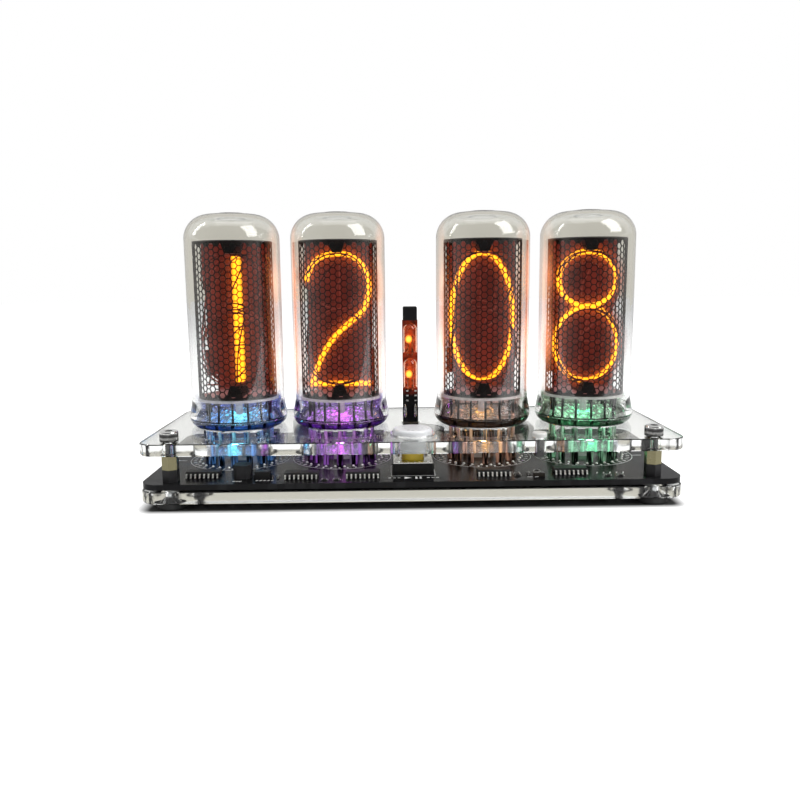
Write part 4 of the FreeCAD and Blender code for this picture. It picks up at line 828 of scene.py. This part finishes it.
def build_controller(looks):
    bodies, legs = bmesh.new(), bmesh.new()
    add_body(bodies, *CONTROLLER, CONTROLLER_SIDE, CONTROLLER_SIDE, CONTROLLER_HEIGHT)
    for quarter in range(4):
        start = len(legs.verts)
        for k in range(8):
            add_leg(legs, (k - 3.5) * CONTROLLER_PITCH, CONTROLLER_SIDE / 2, 1, CONTROLLER_LEG)
        legs.verts.ensure_lookup_table()
        turn = Matrix.Rotation(quarter * math.pi / 2, 4, "Z")
        for vert in legs.verts[start:]:
            vert.co = turn @ vert.co
    for vert in legs.verts:
        vert.co += Vector((*CONTROLLER, -0.2 * MM))
        vert.co.z = max(vert.co.z, BOARD_TOP)
    add_chips("controller", "_body", bodies, legs, looks)


def build_small_parts():
    """Small chip resistors with tinned ends and solder, between the larger parts."""
    bodies, ends = bmesh.new(), bmesh.new()
    for x, y, angle in SMALL_PARTS:
        turn = Matrix.Translation((x * MM, y * MM, BOARD_TOP)) @ Matrix.Rotation(math.radians(angle), 4, "Z")
        for bm, left, right, half, height in ((bodies, -0.55, 0.55, 0.42, 0.48),
                                              (ends, -0.85, -0.5, 0.44, 0.52),
                                              (ends, 0.5, 0.85, 0.44, 0.52),
                                              (ends, -1.15, -0.86, 0.46, 0.12),
                                              (ends, 0.86, 1.15, 0.46, 0.12)):
            before = set(bm.verts)
            add_box(bm, (left * MM, -half * MM, 0.0), (right * MM, half * MM, height * MM), 0.05 * MM)
            for vert in set(bm.verts) - before:
                vert.co = turn @ vert.co
    body_look = plastic("resistor_body", (0.03, 0.028, 0.027), 0.45)
    end_look = metal("end_tin", (0.72, 0.72, 0.70), 0.25)
    add_object("small_parts", bodies, "base", body_look, "chip_plastic")
    add_object("small_parts_ends", ends, "base", end_look, "tinned_metal")


def build_chips():
    body_look = Shader("chip_plastic", (0.012, 0.012, 0.013), 0.5)
    body_look.vary_color(body_look.noise(800.0), (0.008, 0.008, 0.009), grey(0.018))
    body_look.vary_roughness(body_look.noise(2500.0), 0.4, 0.6)
    body_look.bump(body_look.noise(9000.0, 2.0), 0.2, 0.00003)
    looks = (body_look.material, metal("chip_leg_tin", (0.95, 0.95, 0.93), 0.35))
    build_flat_chips(looks)
    build_controller(looks)
    build_small_parts()


# ---------------------------------------------------------------- colour lights under the tubes

def build_light_lenses():
    """Shallow domes in the pockets of the colour lights."""
    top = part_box("tube_lights")[1].z
    profile = [(radius * MM, height * MM) for radius, height in
               ((0.0, -0.28), (1.9, -0.28), (1.9, -0.02), (1.5, 0.05), (0.8, 0.09), (0.0, 0.1))]
    for k, axis in TUBE_AXES.items():
        bm = bmesh.new()
        lathe(bm, profile, Vector((axis.x, axis.y, top)), 48)
        shader = Shader("light_color_%d" % k, grey(0.6), 0.3)
        shader.set("Emission Color", tuple((a + b) / 2 for a, b in zip(*LIGHT_COLORS[k][:2])))
        spots = shader.noise(1500.0, 2.0)
        shader.set("Emission Strength", shader.spread(spots, 40.0, 70.0))
        shader.bump(spots, 0.1, 0.00003)
        add_object("light_lens_%d" % k, bm, "base", shader.material, "light_body")


# ---------------------------------------------------------------- glow round the lit digits

# Middle lines of the digits, from -1 to 1 across and 0 to 1 up; a loop is its middle and two half sizes.
STROKES = {
    "1": [("line", (0, 0), (0, 1))],
    "2": [("curve", (-0.98, 0.80), (-0.83, 0.90), (-0.55, 0.97), (-0.05, 1), (0.43, 0.98), (0.77, 0.91),
           (0.95, 0.79), (0.93, 0.67), (0.75, 0.56), (0.33, 0.47), (-0.08, 0.38), (-0.42, 0.27),
           (-0.65, 0.16), (-0.88, 0)),
          ("line", (-0.92, 0), (0.95, 0))],
    "0": [("loop", 0, 0.5, 1, 0.5)],
    "8": [("loop", 0, 0.79, 0.92, 0.21), ("loop", 0, 0.29, 1, 0.29)],
}
LIT = {1: "1", 2: "2", 3: "0", 4: "8"}
STROKE_WIDTH = 0.4 * MM
DIGIT_HEIGHT = 40.0 * MM
GLOW_SPECTRUM = (1.0, 0.32, 0.008)
HAZE_SPECTRUM = (1.0, 0.13, 0.02)


def eased(points, count):
    """Catmull-Rom curve through points."""
    ends = [points[0], *points, points[-1]]
    out = []
    for a, b, c, d in zip(ends, ends[1:], ends[2:], ends[3:]):
        for t in (k / count for k in range(count)):
            out.append([0.5 * (2 * b[i] + (c[i] - a[i]) * t + (2 * a[i] - 5 * b[i] + 4 * c[i] - d[i]) * t ** 2
                               + (3 * b[i] - a[i] - 3 * c[i] + d[i]) * t ** 3) for i in (0, 1)])
    return out + [points[-1]]


def stroke_paths(number):
    """Middle lines of the lit digit of one tube: lists of (x, z) and whether each is closed."""
    low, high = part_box("cathodes_%d" % number)
    axis = TUBE_AXES[number]
    half_width = (high.x - low.x - STROKE_WIDTH) / 2
    foot = low.z + STROKE_WIDTH / 2
    height = DIGIT_HEIGHT - STROKE_WIDTH

    def place(point):
        return axis.x + point[0] * half_width, foot + point[1] * height

    paths = []
    for kind, *data in STROKES[LIT[number]]:
        if kind == "loop":
            x, z, across, tall = data
            points = [(x + across * math.cos(a), z + tall * math.sin(a)) for a in circle(96)]
        elif kind == "line":
            start, end = (Vector(point) for point in data)
            points = [start.lerp(end, k / 24) for k in range(25)]
        else:
            points = eased(data, 8)
        paths.append(([place(point) for point in points], kind == "loop"))
    return paths


SHEATH_SIDES = 16


def add_sheath(bm, path, closed, middle_y, half_width, half_depth):
    """Flattened tube round a line in the XZ plane; layer 'across' is 0 in its middle and 1 at its rims."""
    across = bm.verts.layers.float["across"]
    count = len(path)
    rings = []
    for k, (x, z) in enumerate(path):
        before = path[k - 1] if closed or k > 0 else path[k]
        after = path[(k + 1) % count] if closed or k < count - 1 else path[k]
        along = Vector((after[0] - before[0], after[1] - before[1])).normalized()
        ring = []
        for turn in circle(SHEATH_SIDES):
            out, deep = math.cos(turn) * half_width, math.sin(turn) * half_depth
            vert = bm.verts.new((x - along.y * out, middle_y + deep, z + along.x * out))
            vert[across] = abs(math.cos(turn))
            ring.append(vert)
        rings.append(ring)
    if closed:
        for first, second in zip(rings, rings[1:] + rings[:1]):
            bridge(bm, first, second)
    else:
        first = end_ring(bm, rings[0], path[0], path[1], middle_y, half_width)
        last = end_ring(bm, rings[-1], path[-1], path[-2], middle_y, half_width)
        add_solid(bm, [first] + rings + [last])


def end_ring(bm, ring, tip, inner, middle_y, half_width):
    """Smaller section just past the end of a line, so that the sheath ends round."""
    across = bm.verts.layers.float["across"]
    out = Vector((tip[0] - inner[0], tip[1] - inner[1])).normalized() * half_width * 0.6
    made = []
    for vert in ring:
        spot = Vector((tip[0] + (vert.co.x - tip[0]) * 0.5 + out.x, middle_y + (vert.co.y - middle_y) * 0.5,
                       tip[1] + (vert.co.z - tip[1]) * 0.5 + out.y))
        copy = bm.verts.new(spot)
        copy[across] = 0.9
        made.append(copy)
    return made


# A ramp holds a quarter of each strength.
RAMP_SHARE = 4.0


def glow_material(name, strengths, alphas, spectrum=GLOW_SPECTRUM):
    """Glowing gas: strength and cover run from the middle of the sheath to its rims."""
    shader = Shader(name, (0.05, 0.01, 0.002), 0.6)
    shader.set("Emission Color", spectrum)
    place = shader.node("ShaderNodeAttribute", attribute_name="across").outputs["Fac"]
    flicker = shader.spread(shader.noise(700.0, 3.0), 0.9, 1.1)
    strength = shader.ramp(place, *[(at, grey(v / RAMP_SHARE)) for at, v in strengths])
    shader.set("Emission Strength", shader.times(shader.times(strength, RAMP_SHARE), flicker))
    shader.set("Alpha", shader.ramp(place, *[(at, grey(v)) for at, v in alphas]))
    shader.bump(shader.noise(2000.0), 0.05, 0.00002)
    return shader.material


def build_glows():
    core = glow_material("neon_glow", ((0.0, 3.4), (0.55, 3.0), (0.8, 1.5), (1.0, 0.6)),
                         ((0.85, 1.0), (1.0, 0.5)))
    haze = glow_material("neon_haze", ((0.0, 0.7), (0.5, 0.36), (1.0, 0.16)),
                         ((0.25, 0.5), (0.6, 0.24), (1.0, 0.0)), HAZE_SPECTRUM)
    for k in TUBES:
        middle_y = middle("lit_digit_%d" % k).y
        width = 1.8 * MM if LIT[k] == "1" else 0.95 * MM
        for name, material, half_width, half_depth in (("neon_glow", core, width, 0.42 * MM),
                                                       ("neon_haze", haze, width + 3.2 * MM, 0.03 * MM)):
            bm = bmesh.new()
            bm.verts.layers.float.new("across")
            for path, closed in stroke_paths(k):
                add_sheath(bm, path, closed, middle_y, half_width, half_depth)
            add_object("%s_%d" % (name, k), bm, "tube_%d" % k, material, "lit_metal", angle=None)
        lit = glow_material("lit_cathode_%d" % k, ((0.0, 3.0), (1.0, 3.0)), ((0.0, 1.0), (1.0, 1.0)))
        dress(lit, "lit_digit_%d" % k)


# ---------------------------------------------------------------- colon lamps

LAMP_MIDDLES = {"low": 34.6, "high": 45.4}


def add_glow_ball(name, centre, half, material):
    """Flattened ball; layer 'across' runs from 0 in its middle to 1 at its rim."""
    bm = bmesh.new()
    across = bm.verts.layers.float.new("across")
    bmesh.ops.create_uvsphere(bm, u_segments=48, v_segments=24, radius=1.0)
    for vert in bm.verts:
        vert[across] = math.hypot(vert.co.x, vert.co.z)
        vert.co = centre + Vector([share * size for share, size in zip(vert.co, half)])
    add_object(name, bm, "base", material, "lamp_electrode")


def build_colon():
    middle_of = middle("colon_lamps")
    glass = clear("lamp_glass", (0.93, 0.66, 0.52), 1.35, 0.05)
    # Painted glow of the lamps' light in their glass.
    glass.glow((1.0, 0.17, 0.05), glass.spread(glass.noise(900.0, 4.0), 0.0, 0.16, 0.42, 0.72))
    dress(glass.material, "colon_lamps")
    wires = Shader("lamp_electrode", (0.10, 0.05, 0.04), 0.5, 0.5)
    wires.glow((1.0, 0.2, 0.03), wires.spread(wires.noise(1500.0), 0.0, 0.35, 0.4, 0.6))
    wires.bump(wires.noise(3000.0), 0.1, 0.00003)
    dress(wires.material, "lamp_electrodes")
    core = glow_material("lamp_glow", ((0.0, 5.0), (0.5, 4.0), (0.8, 1.5), (1.0, 0.5)),
                         ((0.6, 1.0), (0.85, 0.5), (1.0, 0.0)), (1.0, 0.36, 0.05))
    haze = glow_material("lamp_haze", ((0.0, 1.0), (0.5, 0.6), (1.0, 0.25)),
                         ((0.3, 0.75), (0.7, 0.35), (1.0, 0.0)), HAZE_SPECTRUM)
    for name, height in LAMP_MIDDLES.items():
        centre = Vector((middle_of.x - 0.45 * MM, middle_of.y - 0.5 * MM, height * MM))
        add_glow_ball("lamp_glow_" + name, centre, (1.2 * MM, 0.3 * MM, 1.45 * MM), core)
        centre.x = middle_of.x
        centre.y += 0.4 * MM
        add_glow_ball("lamp_haze_" + name, centre, (1.7 * MM, 0.05 * MM, 3.7 * MM), haze)
    build_colon_pads()


def build_colon_pads():
    """Solder pads and joints on the front of the upright board."""
    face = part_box("colon_board")[0].y
    bm = bmesh.new()
    for height in (25.9, 27.5, 29.0):
        for x in (-0.75, 1.85):
            add_box(bm, ((x - 0.35) * MM, face - 0.06 * MM, (height - 0.28) * MM),
                    ((x + 0.35) * MM, face, (height + 0.28) * MM), 0.02 * MM)
    for x in (-1.45, 1.75):
        blob = bmesh.ops.create_uvsphere(bm, u_segments=20, v_segments=12, radius=1.0)
        for vert in blob["verts"]:
            lean = 1.0 - 0.35 * vert.co.z
            vert.co = Vector(((x + vert.co.x * 0.5 * lean) * MM, face + vert.co.y * 0.5 * MM * lean,
                              (22.6 + vert.co.z * 2.2) * MM))
    shader = Shader("solder", (0.62, 0.62, 0.60), 0.25, 1.0)
    shader.vary_color(shader.noise(2500.0), (0.45, 0.45, 0.44), (0.75, 0.75, 0.73))
    shader.vary_roughness(shader.noise(1200.0), 0.15, 0.4)
    shader.bump(shader.noise(3000.0), 0.15, 0.00004)
    add_object("colon_solder", bm, "base", shader.material, "tinned_metal")


# ---------------------------------------------------------------- cap screws

SCREW_STEPS = 96
HEAD_RADIUS = 2.6 * MM
KNURL_DEPTH = 0.11 * MM
SOCKET_HALF_FLATS = 1.0 * MM
SOCKET_DEPTH = 1.5 * MM
SHANK_RADIUS = 1.18 * MM
THREAD_DEPTH = 0.2 * MM
THREAD_PITCH = 0.5 * MM


def plain(radius):
    return lambda turn: radius


def knurl(turn):
    step = int(turn / (2 * math.pi) * SCREW_STEPS + 0.5)
    return HEAD_RADIUS - KNURL_DEPTH * (step % 2 == 0)


def hexagon(turn):
    return SOCKET_HALF_FLATS / math.cos(turn % (math.pi / 3) - math.pi / 6)


def thread(height):
    def radius(turn):
        share = (height / THREAD_PITCH + turn / (2 * math.pi)) % 1
        return SHANK_RADIUS - THREAD_DEPTH * abs(share * 2 - 1)

    return radius


def screw_rows(foot, neck, top):
    """Rows of (radius at each angle, height) from the tip of the thread to the floor of the socket."""
    rows = [(plain(0.8 * MM), foot)]
    steps = int((neck - foot) / (THREAD_PITCH / 8))
    for k in range(1, steps):
        height = foot + (neck - foot) * k / steps
        rows.append((thread(height), height))
    return rows + [(plain(SHANK_RADIUS), neck), (plain(HEAD_RADIUS - 0.25 * MM), neck),
                   (plain(HEAD_RADIUS), neck + 0.15 * MM), (plain(HEAD_RADIUS), neck + 0.4 * MM),
                   (knurl, neck + 0.5 * MM), (knurl, top - 0.5 * MM), (plain(HEAD_RADIUS), top - 0.4 * MM),
                   (plain(HEAD_RADIUS - 0.08 * MM), top - 0.12 * MM), (plain(HEAD_RADIUS - 0.3 * MM), top),
                   (hexagon, top), (hexagon, top - SOCKET_DEPTH)]


def build_screws():
    """Socket cap screws: threaded shank, knurled head and hexagonal socket, with reflections painted as dark
    and bright bands up the head.
    """
    low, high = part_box("top_screws")
    rows = screw_rows(low.z, PLATE_TOP, high.z)
    bm = bmesh.new()
    for x in (low.x + HEAD_RADIUS, high.x - HEAD_RADIUS):
        for y in (low.y + HEAD_RADIUS, high.y - HEAD_RADIUS):
            add_solid(bm, [[bm.verts.new((x + radius(a) * math.cos(a), y + radius(a) * math.sin(a), height))
                            for a in circle(SCREW_STEPS)] for radius, height in rows])
    shader = Shader("nickel_plate", (0.6, 0.6, 0.58), 0.18, 1.0)
    marks = shader.noise(2600.0, 5.0)
    ragged = shader.times(shader.math("SUBTRACT", marks, 0.5), 0.6 * MM)
    rise = shader.plus(shader.axis("Z"), ragged)
    share = shader.spread(rise, 0.0, 1.0, PLATE_TOP, high.z)
    # Painted reflections: dark and bright bands up the head, with ragged edges.
    shader.set("Base Color", shader.ramp(share, (0.10, grey(0.02)), (0.34, (0.36, 0.36, 0.35)),
                                         (0.52, grey(0.04)), (0.72, grey(0.10)), (0.86, (0.75, 0.75, 0.74)),
                                         (1.0, (0.85, 0.85, 0.83))))
    shader.vary_roughness(marks, 0.10, 0.26)
    shader.bump(marks, 0.06, 0.00004)
    add_object("top_screws_knurled", bm, "base", shader.material, "plated_screw", "top_screws", angle=30.0)


dress_clear_parts()
dress_kept_parts()
build_screws()
build_board()
build_chips()
build_light_lenses()
build_glows()
build_colon()


# ---------------------------------------------------------------- camera, light and stage

SENSOR_MM = 36.0
IMAGE_SIDE = 800.0
FOCAL_LENGTH = 765.8    # on the scale of IMAGE_SIDE
CAMERA_PLACE = (-0.005738, -0.237125, 0.063308)
YAW, PITCH, ROLL = (math.radians(a) for a in (0.638, 8.881, -0.571))


def build_camera():
    forward = Vector((math.sin(YAW) * math.cos(PITCH), math.cos(YAW) * math.cos(PITCH), -math.sin(PITCH)))
    right = forward.cross(Vector((0, 0, 1))).normalized()
    upward = right.cross(forward)
    rolled_right = right * math.cos(ROLL) + upward * math.sin(ROLL)
    rolled_up = upward * math.cos(ROLL) - right * math.sin(ROLL)
    data = bpy.data.cameras.new("camera")
    data.sensor_width = SENSOR_MM
    data.lens = SENSOR_MM * FOCAL_LENGTH / IMAGE_SIDE
    data.clip_start = 0.01
    camera = bpy.data.objects.new("camera", data)
    turn = Matrix((rolled_right, rolled_up, -forward)).transposed()
    camera.matrix_world = Matrix.Translation(CAMERA_PLACE) @ turn.to_4x4()
    SCENE.collection.objects.link(camera)
    SCENE.camera = camera


def area_light(name, place, target, size, power, seen_in_gloss=True):
    data = bpy.data.lights.new(name, "AREA")
    data.shape = "RECTANGLE"
    data.size, data.size_y = size
    data.energy = power
    light = bpy.data.objects.new(name, data)
    light.visible_glossy = seen_in_gloss
    aim = (Vector(target) - Vector(place)).to_track_quat("-Z", "Y")
    light.matrix_world = Matrix.Translation(place) @ aim.to_matrix().to_4x4()
    SCENE.collection.objects.link(light)


def build_world():
    """Pale room: white where the camera looks past the object, darker in front for gloss."""
    world = bpy.data.worlds.new("studio")
    SCENE.world = world
    world.use_nodes = True
    room = Nodes(world.node_tree)
    ahead = room.part(room.coords("Generated"), "Y")

    def grade(front, back):
        return room.ramp(room.spread(ahead, 0.0, 1.0, -0.95, -0.25), (0.0, front), (1.0, back))

    rays = room.node("ShaderNodeLightPath").outputs
    color = room.mix(rays["Is Glossy Ray"], grey(0.55), grade(grey(0.10), grey(0.62)))
    color = room.mix(rays["Is Transmission Ray"], color, grade(grey(0.06), (0.60, 0.575, 0.505)))
    color = room.mix(rays["Is Camera Ray"], color, grey(1.0))
    background = world.node_tree.nodes["Background"]
    room.link(color, background.inputs["Color"])
    background.inputs["Strength"].default_value = 1.0


FLOOR_HALF = 1.2
FLOOR_FRONT = -0.17
# Half length and half depth of the shadow painted dark under the object.
SHADE_HALVES = {"X": 73 * MM, "Y": 27 * MM}


def build_floor():
    """White paper with a soft shadow and a dark shadow painted under the object; it glows a little for camera
    rays, but not under the object.
    """
    bm = bmesh.new()
    bmesh.ops.create_grid(bm, x_segments=8, y_segments=8, size=FLOOR_HALF)
    bmesh.ops.translate(bm, verts=bm.verts, vec=(0.0, FLOOR_FRONT + FLOOR_HALF, 0.0))
    shader = Shader("floor_paper", grey(0.9), 0.85)
    shader.set("Emission Color", grey(1.0))
    squares = []
    for name, half in SHADE_HALVES.items():
        past = shader.math("MAXIMUM", shader.plus(shader.math("ABSOLUTE", shader.axis(name)), -half), 0.0)
        squares.append(shader.times(past, past))
    outside = shader.math("SQRT", shader.plus(*squares))
    clear_of_painted_shadow = shader.spread(outside, 0.0, 1.0, 1.5 * MM, 6 * MM)
    paper = shader.shades(shader.noise(30.0), grey(0.88), grey(0.92))
    # Painted shadow: the paper is near black under the object.
    shader.set("Base Color", shader.mix(clear_of_painted_shadow, grey(0.03), paper))
    paths = shader.node("ShaderNodeLightPath")
    through = shader.times(paths.outputs["Is Transmission Ray"], 0.12)
    seen = shader.times(paths.outputs["Is Camera Ray"], 0.55)
    shader.set("Emission Strength", shader.times(clear_of_painted_shadow, shader.plus(through, seen)))
    mesh = bpy.data.meshes.new("floor")
    bm.to_mesh(mesh)
    bm.free()
    floor = bpy.data.objects.new("floor", mesh)
    floor.location = (0.0, 0.0, -0.0001)
    mesh.materials.append(shader.material)
    SCENE.collection.objects.link(floor)


build_camera()
build_world()
build_floor()
area_light("window", (0.60, -0.34, 0.54), (0, 0, 0.07), (0.46, 0.72), 6.6)
area_light("strip", (-0.62, 0.02, 0.42), (0, 0, 0.06), (0.05, 0.46), 1.2)
area_light("top", (0.0, -0.1, 0.75), (0, 0, 0.04), (0.7, 0.5), 1.6, seen_in_gloss=False)
SCENE.view_settings.view_transform = "Standard"
